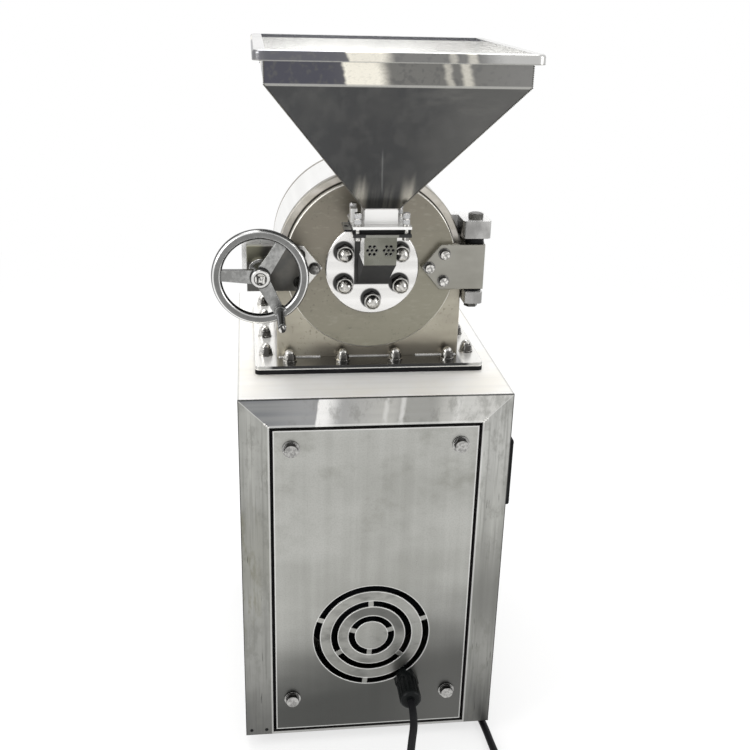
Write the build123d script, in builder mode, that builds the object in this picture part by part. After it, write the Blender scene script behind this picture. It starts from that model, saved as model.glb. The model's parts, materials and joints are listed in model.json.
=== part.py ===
from build123d import *
import os
from math import ceil, cos, pi, radians, sin, sqrt, tan

# Food pulverizer: a pin mill with a hopper, on a sheet-steel cabinet that holds its motor.
# Millimetres. +Z is up, the front faces -Y, and the origin is on the floor under the middle of the machine.

# Fits
RUN = 0.05  # radial room of a shaft or pin that turns in its bore
SLIP = 0.2  # radial room of a bolt or stud in its hole
GAP = 0.3  # room between pieces that move past each other

# Cabinet
CABINET_WIDTH = 400.0
CABINET_DEPTH = 520.0
CABINET_HEIGHT = 590.0
CABINET_FRONT = -200.0
SHEET = 3.0
RAIL = 44.0  # front frame: width of the stiles and the top rail
BOTTOM_RAIL = 4.0
RETURN_DEPTH = 16.0  # front frame: depth of the folded edge round the panel
LANDING = 45.0  # width of the strip that the panel is bolted to
STILE_HOLE_RADIUS = 2.5
STILE_HOLE_INSETS = (9.0, 33.0)
STILE_HOLE_HEIGHT = 9.0
FOOT_HEIGHT = 25.0
FOOT_RADIUS = 25.0
FOOT_CHAMFER = 3.0
FOOT_INSET_SIDE = 55.0
FOOT_INSET_END = 60.0
FOOT_STUD_RADIUS = 6.0
FOOT_STUD = 14.0
TRAY_EDGE = 20.0
REAR_FLANGE = 30.0
REAR_PANEL_MARGIN = 10.0
REAR_BOLT_INSET_SIDE = 22.0
REAR_BOLT_INSET_END = 35.0
LOUVRE_WIDTH = 110.0
LOUVRE_HEIGHT = 8.0
LOUVRE_PITCH = 24.0
LOUVRE_ROWS = 7
LOUVRE_COLUMN_X = 75.0

# Access panel
PANEL_GAP = 5.0
PANEL_SKIN = 2.5
SEAL_THICKNESS = 2.0
SEAL_WIDTH = 19.5
PANEL_BOLT_INSET = 26.0
PANEL_BOLT_FROM_TOP = 29.0
PANEL_BOLT_FROM_BOTTOM = 60.0
PANEL_BOSS_RADIUS = 9.0
VENT_OUTER_RADII = (91.5, 63.8, 36.3)
VENT_SLOT = 10.0
VENT_BRIDGE = 8.0
VENT_BRIDGE_ANGLES = ((19, 158, 264), (92, 210, 321), (18, 160, 265))

# Flanged hex bolt of the panels and the motor
BOLT_SHANK = 5.0
BOLT_FLANGE_RADIUS = 13.0
BOLT_FLANGE = 2.0
BOLT_FLATS = 19.0
BOLT_HEAD = 8.0
BOLT_LENGTH = 22.0
HEX_TAPER = 8.0  # degrees by which the corners of a bolt head are turned down

# Cable gland, lead and plug
GLAND_X = 58.0
GLAND_ABOVE_BOTTOM = 95.0
GLAND_THREAD_RADIUS = 12.5
GLAND_THREAD = 20.0
GLAND_FLATS = 33.0
GLAND_BODY = 14.0
GLAND_NUT = 43.0
GLAND_NUT_RADIUS = 17.0
GLAND_NUT_DOME = 7.0
GLAND_RIBS = 16
GLAND_RIB_RADIUS = 1.5
GLAND_LOCKNUT = 6.0
CORD_DIAMETER = 12.0
COIL_X = 0.0
COIL_Y = 432.0
COIL_RADIUS = 87.0  # outermost turn, at the middle of the cord
COIL_PITCH = 13.2  # from one turn to the next in the same layer
COIL_LAYER = 13.0  # from the lower layer to the upper
COIL_HEIGHT = 8.0  # middle of the lower layer above the floor
COIL_QUARTERS_IN = 6  # quarter turns of the lower layer, which spirals in
COIL_QUARTERS_CLIMB = 2  # quarter turns, still inwards, in which it climbs to the upper layer
COIL_QUARTERS_OUT = 5  # quarter turns of the upper layer, which spirals out
TIE_THICKNESS = 1.2
TIE_WIDTH = 10.0
TIE_ROOM = 0.4
TIE_ANGLE = 45.0
PLUG_BOOT = 50.0
PLUG_BOOT_RADIUS = 6.6
PLUG_BODY = 45.0
PLUG_BODY_RADIUS = 20.5
PLUG_BODY_FILLET = 5.0
PLUG_PIN_RADIUS = 2.4
PLUG_PIN = 19.0
PLUG_PIN_CIRCLE = 9.5

# Starter on the right side
STARTER_WIDTH = 65.0
STARTER_HEIGHT = 119.0
STARTER_DEPTH = 40.0
STARTER_FROM_FRONT = 120.0
STARTER_ABOVE_BOTTOM = 339.0
STARTER_FILLET = 5.0
BUTTON_RADIUS = 11.0
BUTTON_SPACING = 48.0
BUTTON_PROUD = 4.0
BUTTON_TRAVEL = 4.0
BUTTON_LENGTH = 12.0
BUTTON_FILLET = 1.5

# Mill: bed and housing
BED_GASKET = 7.0
BED_THICKNESS = 6.0
BED_MARGIN = 34.0  # bed plate beyond the housing's sides
BED_FRONT = -103.0
BED_TAIL = 19.0  # bed plate beyond the bearing barrel
BED_CORNER = 8.0
BED_BOLT_SHANK = 5.0
BED_BOLT_FLATS = 18.0
BED_BOLT_WASHER_RADIUS = 11.0
BED_BOLT_WASHER = 2.0
BED_BOLT_HEX = 9.0
BED_BOLT_DOME = 7.5
BED_BOLT_NUT = 8.0
BED_FRONT_ROW_BOLTS = 4
BED_FRONT_ROW_END = 52.5
BED_FRONT_ROW_INSET = 23.0
BED_SIDE_INSET = 17.0
BED_SIDE_ROW_BOLTS = 4
BED_SIDE_ROW_FRONT = 53.0
BED_SIDE_ROW_BACK = 35.0
BED_REAR_ROW_X = 100.0
BED_REAR_ROW_INSET = 15.0
HOUSING_RADIUS = 140.0
HOUSING_SKIRT = 8.0  # straight side below the circle of the housing
HOUSING_FRONT = -65.0
HOUSING_DEPTH = 162.0
HOUSING_PLATE = 12.0
HOUSING_WALL = 5.0
HOUSING_CHAMFER = 1.5
HOUSING_MOUTH_INSET = 22.0
OUTLET_INSET = 35.0
OUTLET_MARGIN = 18.0
SIEVE_INSET = 8.0  # sieve inside the housing's mouth
SIEVE_WALL = 1.5
SIEVE_SEAT = 6.0
SIEVE_SEAT_WALL = 4.0
SIEVE_SLOTS = 36
SIEVE_SLOT_WIDTH = 6.0
SIEVE_MARGIN = 20.0

# Door and what is bolted to it
DOOR_INSET = 12.5  # door inside the housing's outline
DOOR_THICKNESS = 13.0
DOOR_EDGE = 2.0
DOOR_GASKET = 2.0
DOOR_GASKET_INSET = 2.0
FLANGE_RADIUS = 69.0
FLANGE_THICKNESS = 14.0
FLANGE_EDGE = 1.5
STUD_CIRCLE = 47.5
STUD_RADIUS = 8.0
STUD_LENGTH = 25.0
STUD_COUNT = 6
STUD_FIRST_ANGLE = 30.0
DOME_FLATS = 24.0
DOME_HEX = 13.0
DOME_RADIUS = 10.5
STATOR_INSET = 18.0  # stator inside the housing's mouth
STATOR_THICKNESS = 12.0
STATOR_BORE_RADIUS = 30.0
STATOR_TOOTH_INSET = 26.0  # tooth circle inside the stator's outline
STATOR_TOOTH = 8.0
STATOR_TOOTH_LENGTH = 34.0
STATOR_TEETH = 14
LEAF_THICKNESS = 12.0
LEAF_HEIGHT = 68.0
LEAF_TIP_GAP = 4.0  # from the feed flange to the tip of a leaf
LEAF_POINT = 28.0
LEAF_EDGE = 1.0
HINGE_LEAF_TAIL = 13.0  # beyond the hinge pin
CLASP_LEAF_TAIL = 19.0  # beyond the clamp screw
LEAF_BOLT_FROM_TIP = 12.0
LEAF_BOLT_PAIR_FROM_TIP = 34.0
LEAF_BOLT_PAIR_SPREAD = 41.0
LEAF_BOLT_SHANK = 4.0
LEAF_BOLT_WASHER = 1.6
LEAF_BOLT_WASHER_RADIUS = 9.0
LEAF_BOLT_FLATS = 13.0
LEAF_BOLT_HEAD = 7.0
LEAF_BOLT_LENGTH = 22.0

# Hinge
PIN_STANDOFF = 15.0  # from the housing's side to the pin
PIN_Y = -73.0
PIN_RADIUS = 6.0
PIN_HEAD_LEDGE = 4.5
PIN_HEAD = 9.0
PIN_NUT_LEDGE = 3.0
PIN_NUT = 8.0
KNUCKLE_WALL = 9.0
KNUCKLE_HEIGHT = 68.0
WASHER_INSET = 1.0
UPPER_ARM_GAP = 9.0
UPPER_ARM = 26.0
LOWER_ARM_GAP = 5.0
LOWER_ARM = 18.0
UPPER_ARM_HALF_WIDTH = 21.0
LOWER_ARM_HALF_WIDTH = 14.0
ARM_FRONT = 19.0  # from the pin to the front of the arms
ARM_CORNER = 7.0
STRAP_FRONT = -46.0
STRAP_BACK = -24.0
STRAP_THICKNESS = 12.0
STRAP_ROOT = 20.0  # how far the bracket reaches in to meet the round housing

# Clamp and handwheel
CLAMP_STANDOFF = 24.0  # from the housing's side to the clamp screw
CLAMP_SCREW_RADIUS = 8.0
CLAMP_BLOCK_TAIL = 26.0
CLAMP_BLOCK_ABOVE = 39.0
CLAMP_BLOCK_BELOW = 29.0
CLAMP_BLOCK_DEPTH = 35.0
CLAMP_HOLE = 26.0
CLAMP_ENGAGEMENT = 12.0
CLAMP_ROOM = 0.3  # radial room of the screw in the block, the leaf and the collar
COLLAR_LEDGE = 8.0
COLLAR_THICKNESS = 6.0
WHEEL_RADIUS = 69.0
WHEEL_RIM_RADIUS = 7.25
WHEEL_PLANE = -134.0
HUB_WALL = 6.0
HUB_FRONT = -147.0
HUB_EDGE = 2.0
SCREW_END = 6.0
SCREW_END_FLATS = 11.0
SPOKE_ANGLES = (177.0, 57.0, -63.0)
SPOKE_ROOT_WIDTH = 21.0
SPOKE_TIP_WIDTH = 15.0
SPOKE_THICKNESS = 8.0
HANDLE_ANGLE = -61.0
HANDLE_CIRCLE = 57.0
HANDLE_BOSS_RADIUS = 9.0
HANDLE_BOSS_FRONT = -146.0
GRIP_RADIUS = 6.0
GRIP_LENGTH = 68.0
GRIP_EDGE = 2.0
SPINDLE_RADIUS = 3.5
SPINDLE_HEAD = 4.0
SPINDLE_HEAD_RADIUS = 5.0

# Feed: chute, slide gate and hopper
CHUTE_WIDTH = 45.0
CHUTE_SHEET = 2.0
CHUTE_FRONT = -180.0
CHUTE_DEPTH = 46.0
CHUTE_TOP_ABOVE_AXIS = 75.0
CHUTE_KNEE_ABOVE_AXIS = 28.0
CHUTE_BACK_KNEE_ABOVE_AXIS = 37.0
CHUTE_OUTLET_BELOW_AXIS = 22.0
CHUTE_OUTLET_HEIGHT = 36.0
FEED_FLANGE_WIDTH = 80.0
FEED_FLANGE_SHEET = 4.0
GATE_SLOT = 7.0
GATE_PLATE = 3.0
GATE_ROOM = 0.4
GATE_GUIDE_WIDTH = 6.0
GATE_END = 30.0
GATE_TAB = 10.0
GATE_FINGER_RADIUS = 4.0
VENT_HOLE_RADIUS = 1.7
VENT_HOLE_PITCH = 6.1
VENT_CLUSTER_SPREAD = 23.0
VENT_CLUSTER_ABOVE_AXIS = 49.0
FEED_STUD_SPREAD = 66.0
FEED_STUD_RADIUS = 3.0
FEED_STUD_FLATS = 9.0
FEED_STUD_NUT = 5.0
THUMB_NUT_RADIUS = 4.5
THUMB_NUT = 18.0
NECK_WIDTH = 46.0
NECK_HEIGHT = 20.0
HOPPER_WIDTH = 316.0
HOPPER_CONE = 174.0
HOPPER_BAND = 27.0
HOPPER_SHEET = 2.0
LIP_WIDTH = 13.0
LIP_HEIGHT = 12.0
LIP_EDGE = 4.0
LUG_X = -36.0
LUG_SIZE = 18.0

# Rotor, shaft and bearings
ROTOR_INSET = 2.0  # rotor inside the stator's outline
ROTOR_THICKNESS = 15.0
ROTOR_FRONT = -5.0
ROTOR_HUB_WALL = 15.0
ROTOR_HUB_BACK = 40.0
ROTOR_PIN_RINGS = ((43.0, 8), (8.0, 12))  # inset from the rotor's edge, and pins
ROTOR_PIN_RADIUS = 5.0
ROTOR_PIN_LENGTH = 28.0
ROTOR_NUT_FLATS = 34.0
ROTOR_NUT = 14.0
SHAFT_NOSE_STEP = 2.5
SHAFT_NOSE = 6.0
SHAFT_RADIUS = 15.0
SHAFT_END_STEP = 3.0
BEARING_RADIUS = 36.0
BEARING_WIDTH = 19.0
BEARING_RACE = 5.0
BEARING_GROOVE = 1.5
NOSE_WALL = 6.0
NOSE_BORE_ROOM = 3.0
NOSE_SHOULDER = 6.0
BARREL_WALL = 16.0
BARREL_LENGTH = 112.0
BARREL_FLANGE_WIDTH = 20.0
BARREL_FLANGE = 12.0
PEDESTAL_WIDTH = 84.0
PEDESTAL_FROM_HOUSING = 25.0
PEDESTAL_FROM_COVER = 11.0
COVER_THICKNESS = 8.0
COVER_BORE_ROOM = 1.0
COVER_BOLT_COUNT = 6

# Belt drive and guard
DRIVEN_RADIUS = 42.0
DRIVE_RADIUS = 62.0
PULLEY_FROM_GUARD = 10.0
PULLEY_WIDTH = 46.0
GROOVE_WIDTH = 12.0
GROOVE_DEPTH = 9.5
GROOVE_SPACING = 22.0
BELT_ROOM = 0.5
BELT_THICKNESS = 8.5
GUARD_RADIUS = 78.0
GUARD_FROM_BED = 8.0
GUARD_SHEET = 2.0
GUARD_SLOT_RADIUS = 22.0
GUARD_TAB = 22.0
GUARD_TAB_BOLT_INSET = 14.0
SMALL_BOLT_SHANK = 3.0
SMALL_BOLT_FLATS = 10.0
SMALL_BOLT_HEAD = 5.0
SMALL_BOLT_LENGTH = 18.0

# Motor
MOTOR_AXIS_ABOVE_BOTTOM = 182.0
MOTOR_RADIUS = 103.0
MOTOR_BORE_RADIUS = 84.0
MOTOR_FIN = 7.0
MOTOR_FIN_WIDTH = 3.0
MOTOR_FINS = 36
MOTOR_FRONT = -20.0
MOTOR_BACK = 225.0
MOTOR_SHIELD = 15.0
MOTOR_SHAFT_RADIUS = 14.0
MOTOR_COLLAR_RADIUS = 20.0
MOTOR_COLLAR = 6.0
MOTOR_CORE_RADIUS = 70.0
MOTOR_CORE_MARGIN = 30.0
MOTOR_SHAFT_HEIGHT = 112.0
MOTOR_FEET_SPREAD = 190.0
MOTOR_FEET_Y = (60.0, 150.0)
MOTOR_FOOT_WIDTH = 40.0
MOTOR_FOOT = 12.0
TERMINAL_BOX_WIDTH = 110.0
TERMINAL_BOX_LENGTH = 100.0
TERMINAL_BOX_ABOVE_AXIS = 150.0
COWL_FRONT = -92.0
COWL_SHEET = 2.0
COWL_LAP = 10.0
COWL_SLOTS = 12
COWL_SLOT_LENGTH = 55.0
COWL_SLOT_WIDTH = 9.0
COWL_SLOT_CIRCLE = 65.0
FAN_RADIUS = 88.0
FAN_HUB_RADIUS = 24.0
FAN_BLADES = 9
FAN_BLADE = 3.0
FAN_FRONT = -78.0
FAN_BACK = -32.0
RAIL_TUBE_WIDTH = 40.0
RAIL_TUBE_WALL = 3.0
RAIL_TUBE_INSET = 27.0

# Discharge
SPOUT_BORE_RADIUS = 50.0
SPOUT_SHEET = 2.0
SPOUT_LENGTH = 40.0
SPOUT_PLATE = 160.0
SPOUT_BOLT_SPREAD = 140.0
SPOUT_ABOVE_BOTTOM = 250.0
DUCT_WALL = 2.5
DUCT_MOUTH = 126.0
DUCT_SIDE_DROP = 92.0
DUCT_FAR_DROP = 37.0
DUCT_FLANGE = 20.0

# Levels and planes that follow from the sizes above
BOTTOM = FOOT_HEIGHT
TOP = BOTTOM + CABINET_HEIGHT
BACK = CABINET_FRONT + CABINET_DEPTH
HALF = CABINET_WIDTH / 2
INNER_HALF = HALF - SHEET
OPENING_HALF = HALF - RAIL
OPENING_BOTTOM = BOTTOM + BOTTOM_RAIL
OPENING_TOP = TOP - RAIL
LANDING_BACK = CABINET_FRONT + RETURN_DEPTH + SHEET
PANEL_HALF = OPENING_HALF - PANEL_GAP
PANEL_BOTTOM = OPENING_BOTTOM + PANEL_GAP
PANEL_TOP = OPENING_TOP - PANEL_GAP
PANEL_EDGE_BACK = CABINET_FRONT + RETURN_DEPTH - SEAL_THICKNESS
PANEL_DEPTH = PANEL_EDGE_BACK - CABINET_FRONT
MOTOR_AXIS = BOTTOM + MOTOR_AXIS_ABOVE_BOTTOM
GLAND_Z = BOTTOM + GLAND_ABOVE_BOTTOM
GLAND_FRONT = CABINET_FRONT - GLAND_BODY - GLAND_NUT
REAR_HALF = HALF - REAR_PANEL_MARGIN
REAR_BOTTOM = BOTTOM + REAR_PANEL_MARGIN
REAR_TOP = TOP - REAR_PANEL_MARGIN
BED_BOTTOM = TOP + BED_GASKET
BED_TOP = BED_BOTTOM + BED_THICKNESS
BED_HALF = HOUSING_RADIUS + BED_MARGIN
MILL_AXIS = BED_TOP + HOUSING_SKIRT + HOUSING_RADIUS
HOUSING_BACK = HOUSING_FRONT + HOUSING_DEPTH
HOUSING_MOUTH_RADIUS = HOUSING_RADIUS - HOUSING_MOUTH_INSET
OUTLET_HALF_WIDTH = HOUSING_RADIUS - OUTLET_INSET
SIEVE_RADIUS = HOUSING_MOUTH_RADIUS - SIEVE_INSET
DOOR_RADIUS = HOUSING_RADIUS - DOOR_INSET
STATOR_RADIUS = HOUSING_MOUTH_RADIUS - STATOR_INSET
STATOR_TOOTH_CIRCLE = STATOR_RADIUS - STATOR_TOOTH_INSET
ROTOR_RADIUS = STATOR_RADIUS - ROTOR_INSET
SHAFT_NOSE_RADIUS = SHAFT_RADIUS - SHAFT_NOSE_STEP
SHAFT_END_RADIUS = SHAFT_RADIUS - SHAFT_END_STEP
ROTOR_HUB_RADIUS = SHAFT_RADIUS + ROTOR_HUB_WALL
NOSE_RADIUS = BEARING_RADIUS + NOSE_WALL
BARREL_RADIUS = BEARING_RADIUS + BARREL_WALL
BARREL_FLANGE_RADIUS = BARREL_RADIUS + BARREL_FLANGE_WIDTH
FLANGE_BOLT_CIRCLE = BARREL_RADIUS + BARREL_FLANGE_WIDTH / 2
COVER_BOLT_CIRCLE = BEARING_RADIUS + BARREL_WALL / 2
BEARING_FRONT_Y = HOUSING_BACK + NOSE_SHOULDER
BARREL_BACK = HOUSING_BACK + BARREL_FLANGE + BARREL_LENGTH
BEARING_BACK_Y = BARREL_BACK - BEARING_WIDTH
PEDESTAL_FRONT = HOUSING_BACK + PEDESTAL_FROM_HOUSING
PEDESTAL_BACK = BARREL_BACK - PEDESTAL_FROM_COVER
BED_BACK = BARREL_BACK + BED_TAIL
GUARD_FRONT = BED_BACK + GUARD_FROM_BED
PULLEY_FRONT = GUARD_FRONT + PULLEY_FROM_GUARD
PULLEY_BACK = PULLEY_FRONT + PULLEY_WIDTH
PULLEY_MIDDLE = (PULLEY_FRONT + PULLEY_BACK) / 2
GUARD_DEPTH = PULLEY_WIDTH + 2 * PULLEY_FROM_GUARD + GUARD_SHEET
GUARD_BACK = GUARD_FRONT + GUARD_DEPTH
PIN_X = HOUSING_RADIUS + PIN_STANDOFF
KNUCKLE_RADIUS = PIN_RADIUS + KNUCKLE_WALL
CLAMP_X = -HOUSING_RADIUS - CLAMP_STANDOFF
HUB_RADIUS = CLAMP_SCREW_RADIUS + HUB_WALL
LEAF_TIP_X = FLANGE_RADIUS + LEAF_TIP_GAP
LEAF_SHOULDER_X = LEAF_TIP_X + LEAF_POINT
LEAF_BOLT_TIP_X = LEAF_TIP_X + LEAF_BOLT_FROM_TIP
LEAF_BOLT_PAIR_X = LEAF_TIP_X + LEAF_BOLT_PAIR_FROM_TIP
HINGE_LEAF_END = PIN_X + HINGE_LEAF_TAIL
CLASP_LEAF_END = CLASP_LEAF_TAIL - CLAMP_X
REAR_PLATE_FRONT = HOUSING_BACK - HOUSING_PLATE
OUTLET_FRONT = HOUSING_FRONT + OUTLET_MARGIN
OUTLET_BACK = HOUSING_BACK - OUTLET_MARGIN
OUTLET_MIDDLE = (OUTLET_FRONT + OUTLET_BACK) / 2
DOOR_BACK = HOUSING_FRONT - GAP - DOOR_GASKET
DOOR_FRONT = DOOR_BACK - DOOR_THICKNESS
FLANGE_FRONT = DOOR_FRONT - FLANGE_THICKNESS
LEAF_FRONT = DOOR_FRONT - LEAF_THICKNESS
STATOR_BACK = DOOR_BACK + STATOR_THICKNESS
KNUCKLE_TOP = MILL_AXIS + KNUCKLE_HEIGHT / 2
KNUCKLE_BOTTOM = MILL_AXIS - KNUCKLE_HEIGHT / 2
UPPER_ARM_BOTTOM = KNUCKLE_TOP + UPPER_ARM_GAP
UPPER_ARM_TOP = UPPER_ARM_BOTTOM + UPPER_ARM
LOWER_ARM_TOP = KNUCKLE_BOTTOM - LOWER_ARM_GAP
LOWER_ARM_BOTTOM = LOWER_ARM_TOP - LOWER_ARM
CHUTE_TOP = MILL_AXIS + CHUTE_TOP_ABOVE_AXIS
CHUTE_BACK = CHUTE_FRONT + CHUTE_DEPTH
CHUTE_OUTLET = MILL_AXIS - CHUTE_OUTLET_BELOW_AXIS
FEED_Y = (CHUTE_FRONT + CHUTE_BACK) / 2
FEED_HALF = FEED_FLANGE_WIDTH / 2
WINDOW_WIDTH = CHUTE_WIDTH - 2 * CHUTE_SHEET
WINDOW_HEIGHT = CHUTE_OUTLET_HEIGHT - 2 * CHUTE_SHEET
WINDOW_Z = CHUTE_OUTLET + CHUTE_OUTLET_HEIGHT / 2
GATE_ROOF = CHUTE_TOP + GATE_SLOT
HOPPER_FLANGE_TOP = GATE_ROOF + FEED_FLANGE_SHEET
NECK_TOP = HOPPER_FLANGE_TOP + NECK_HEIGHT
BAND_BOTTOM = NECK_TOP + HOPPER_CONE
LIP_BOTTOM = BAND_BOTTOM + HOPPER_BAND
ROTOR_BACK = ROTOR_FRONT + ROTOR_THICKNESS
GROOVE_MIDDLES = (PULLEY_MIDDLE - GROOVE_SPACING / 2, PULLEY_MIDDLE + GROOVE_SPACING / 2)
COLLAR_FRONT = LEAF_FRONT - GAP - COLLAR_THICKNESS
HUB_BACK = COLLAR_FRONT - GAP
SCREW_TIP = HOUSING_FRONT + CLAMP_ENGAGEMENT
HANDLE_X = CLAMP_X + HANDLE_CIRCLE * cos(radians(HANDLE_ANGLE))
HANDLE_Z = MILL_AXIS + HANDLE_CIRCLE * sin(radians(HANDLE_ANGLE))
GRIP_BACK = HANDLE_BOSS_FRONT - GAP
GRIP_FRONT = GRIP_BACK - GRIP_LENGTH
SPOUT_Z = BOTTOM + SPOUT_ABOVE_BOTTOM
STARTER_Y = CABINET_FRONT + STARTER_FROM_FRONT + STARTER_WIDTH / 2
STARTER_Z = BOTTOM + STARTER_ABOVE_BOTTOM + STARTER_HEIGHT / 2
STARTER_FACE = HALF + STARTER_DEPTH
TRAY_TOP = BOTTOM + SHEET
CLIMB_END = COIL_QUARTERS_IN + COIL_QUARTERS_CLIMB
COIL_QUARTERS = CLIMB_END + COIL_QUARTERS_OUT
MOTOR_FOOT_BOTTOM = MOTOR_AXIS - MOTOR_SHAFT_HEIGHT
MOTOR_SHIELD_RADIUS = MOTOR_RADIUS + MOTOR_FIN
RAIL_TUBE_LENGTH = 2 * (INNER_HALF - RAIL_TUBE_INSET)

# Places of the fasteners
PANEL_BOLT_HEIGHTS = (PANEL_BOTTOM + PANEL_BOLT_FROM_BOTTOM, PANEL_TOP - PANEL_BOLT_FROM_TOP)
PANEL_BOLT_X = PANEL_HALF - PANEL_BOLT_INSET
PANEL_BOLT_PLACES = [(x, z) for x in (-PANEL_BOLT_X, PANEL_BOLT_X) for z in PANEL_BOLT_HEIGHTS]
REAR_BOLT_X = HALF - REAR_BOLT_INSET_SIDE
REAR_BOLT_HEIGHTS = (BOTTOM + REAR_BOLT_INSET_END, TOP - REAR_BOLT_INSET_END)
REAR_BOLT_PLACES = [(x, z) for x in (-REAR_BOLT_X, REAR_BOLT_X) for z in REAR_BOLT_HEIGHTS]
MOTOR_BOLT_PLACES = [(x, y) for x in (-MOTOR_FEET_SPREAD / 2, MOTOR_FEET_SPREAD / 2) for y in MOTOR_FEET_Y]
FOOT_X = HALF - FOOT_INSET_SIDE
FOOT_DEPTHS = (CABINET_FRONT + FOOT_INSET_END, BACK - FOOT_INSET_END)
FOOT_PLACES = [(x, y) for x in (-FOOT_X, FOOT_X) for y in FOOT_DEPTHS]
BED_FRONT_STEP = 2 * (BED_HALF - BED_FRONT_ROW_END) / (BED_FRONT_ROW_BOLTS - 1)
BED_FRONT_ROW_X = [BED_FRONT_ROW_END - BED_HALF + i * BED_FRONT_STEP for i in range(BED_FRONT_ROW_BOLTS)]
BED_FRONT_PLACES = [(x, BED_FRONT + BED_FRONT_ROW_INSET) for x in BED_FRONT_ROW_X]
BED_SIDE_X = BED_HALF - BED_SIDE_INSET
BED_SIDE_LENGTH = BED_BACK - BED_SIDE_ROW_BACK - BED_FRONT - BED_SIDE_ROW_FRONT
BED_SIDE_STEP = BED_SIDE_LENGTH / (BED_SIDE_ROW_BOLTS - 1)
BED_SIDE_ROW_Y = [BED_FRONT + BED_SIDE_ROW_FRONT + i * BED_SIDE_STEP for i in range(BED_SIDE_ROW_BOLTS)]
BED_SIDE_PLACES = [(x, y) for x in (-BED_SIDE_X, BED_SIDE_X) for y in BED_SIDE_ROW_Y]
BED_REAR_PLACES = [(x, BED_BACK - BED_REAR_ROW_INSET) for x in (-BED_REAR_ROW_X, BED_REAR_ROW_X)]
BED_BOLT_PLACES = BED_FRONT_PLACES + BED_SIDE_PLACES + BED_REAR_PLACES
GUARD_BOLT_X = GUARD_RADIUS + GUARD_TAB - GUARD_TAB / 2
GUARD_BOLT_DEPTHS = (GUARD_FRONT + GUARD_TAB_BOLT_INSET, GUARD_BACK - GUARD_TAB_BOLT_INSET)
GUARD_BOLT_PLACES = [(x, y) for x in (-GUARD_BOLT_X, GUARD_BOLT_X) for y in GUARD_BOLT_DEPTHS]
LEAF_BOLT_PAIR_Z = LEAF_BOLT_PAIR_SPREAD / 2
LEAF_BOLT_PLACES = []
for side in (-1, 1):
    LEAF_BOLT_PLACES.append((side * LEAF_BOLT_TIP_X, MILL_AXIS))
    LEAF_BOLT_PLACES.append((side * LEAF_BOLT_PAIR_X, MILL_AXIS - LEAF_BOLT_PAIR_Z))
    LEAF_BOLT_PLACES.append((side * LEAF_BOLT_PAIR_X, MILL_AXIS + LEAF_BOLT_PAIR_Z))

# Route of the lead, by its middle line, from the gland to the start of the coil
CORD_POINTS = [
    (GLAND_X, GLAND_FRONT, GLAND_Z),
    (GLAND_X, GLAND_FRONT - 40, GLAND_Z),
    (47, -333, 102),
    (41, -359, 73),
    (45, -384, 44),
    (60, -408, 21.5),
    (88, -430, 9),
    (126, -440, 6.2),
    (167, -430, 6.2),
    (197, -401, 6.2),
    (212, -360, 6.2),
    (209, -310, 6.2),
    (200, -255, 6.2),
    (197, -184, 6.2),
    (187, -125, 6.2),
    (172, -50, 6.2),
    (155, 25, 6.2),
    (136, 100, 6.2),
    (117, 175, 6.4),
    (102, 250, 6.8),
    (92, 325, 7.5),
    (COIL_RADIUS, 382, COIL_HEIGHT),
    (COIL_RADIUS, COIL_Y - CORD_DIAMETER, COIL_HEIGHT),
]

os.makedirs("parts", exist_ok=True)


def front_plane(y, x=0.0, z=0.0):
    """A plane at depth y that faces the front: X to the right, Z up, and an extrusion comes forwards."""
    return Plane(origin=(x, y, z), x_dir=(1, 0, 0), z_dir=(0, -1, 0))


def back_plane(y, x=0.0, z=0.0):
    """A plane at depth y that faces the back."""
    return Plane(origin=(x, y, z), x_dir=(-1, 0, 0), z_dir=(0, 1, 0))


def right_plane(x, y=0.0, z=0.0):
    """A plane at x that faces right: Y to the right, Z up, and an extrusion goes outwards."""
    return Plane(origin=(x, y, z), x_dir=(0, 1, 0), z_dir=(1, 0, 0))


def outline(left, right, low, high, mode=Mode.ADD):
    """Sketch of a rectangle between its sides."""
    with Locations(((left + right) / 2, (low + high) / 2)):
        Rectangle(right - left, high - low, mode=mode)


def arch(radius, foot, mode=Mode.ADD):
    """Sketch of an arch: a half circle about the mill axis on straight sides down to foot."""
    with Locations((0, MILL_AXIS)):
        Circle(radius, mode=mode)
    outline(-radius, radius, foot, MILL_AXIS, mode)


def hexagon(flats):
    """Sketch of a hexagon by its width across flats."""
    RegularPolygon(radius=flats / 2, side_count=6, major_radius=False)


def corner_circle(flats):
    """Sketch of the circle through the corners of a hexagon."""
    Circle(flats / sqrt(3))


# Front frame: a welded ring of rails with a folded edge and a landing strip behind the panel
with BuildPart() as front_frame:
    with BuildSketch(front_plane(CABINET_FRONT + SHEET)):
        outline(-HALF, HALF, BOTTOM, TOP)
        outline(-OPENING_HALF, OPENING_HALF, OPENING_BOTTOM, OPENING_TOP, Mode.SUBTRACT)
        for inset in STILE_HOLE_INSETS:
            with Locations((inset - HALF, BOTTOM + STILE_HOLE_HEIGHT)):
                Circle(STILE_HOLE_RADIUS, mode=Mode.SUBTRACT)
    extrude(amount=SHEET)
    with BuildSketch(front_plane(CABINET_FRONT + RETURN_DEPTH)):
        outline(-OPENING_HALF - SHEET, OPENING_HALF + SHEET, OPENING_BOTTOM - SHEET, OPENING_TOP + SHEET)
        outline(-OPENING_HALF, OPENING_HALF, OPENING_BOTTOM, OPENING_TOP, Mode.SUBTRACT)
    extrude(amount=RETURN_DEPTH - SHEET)
    with BuildSketch(front_plane(LANDING_BACK)):
        outline(-OPENING_HALF - SHEET, OPENING_HALF + SHEET, OPENING_BOTTOM - SHEET, OPENING_TOP + SHEET)
        landing_half = OPENING_HALF - LANDING
        outline(-landing_half, landing_half, OPENING_BOTTOM + LANDING, OPENING_TOP - LANDING, Mode.SUBTRACT)
        with Locations(*PANEL_BOLT_PLACES):
            Circle(BOLT_SHANK + SLIP, mode=Mode.SUBTRACT)
    extrude(amount=SHEET)
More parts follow.
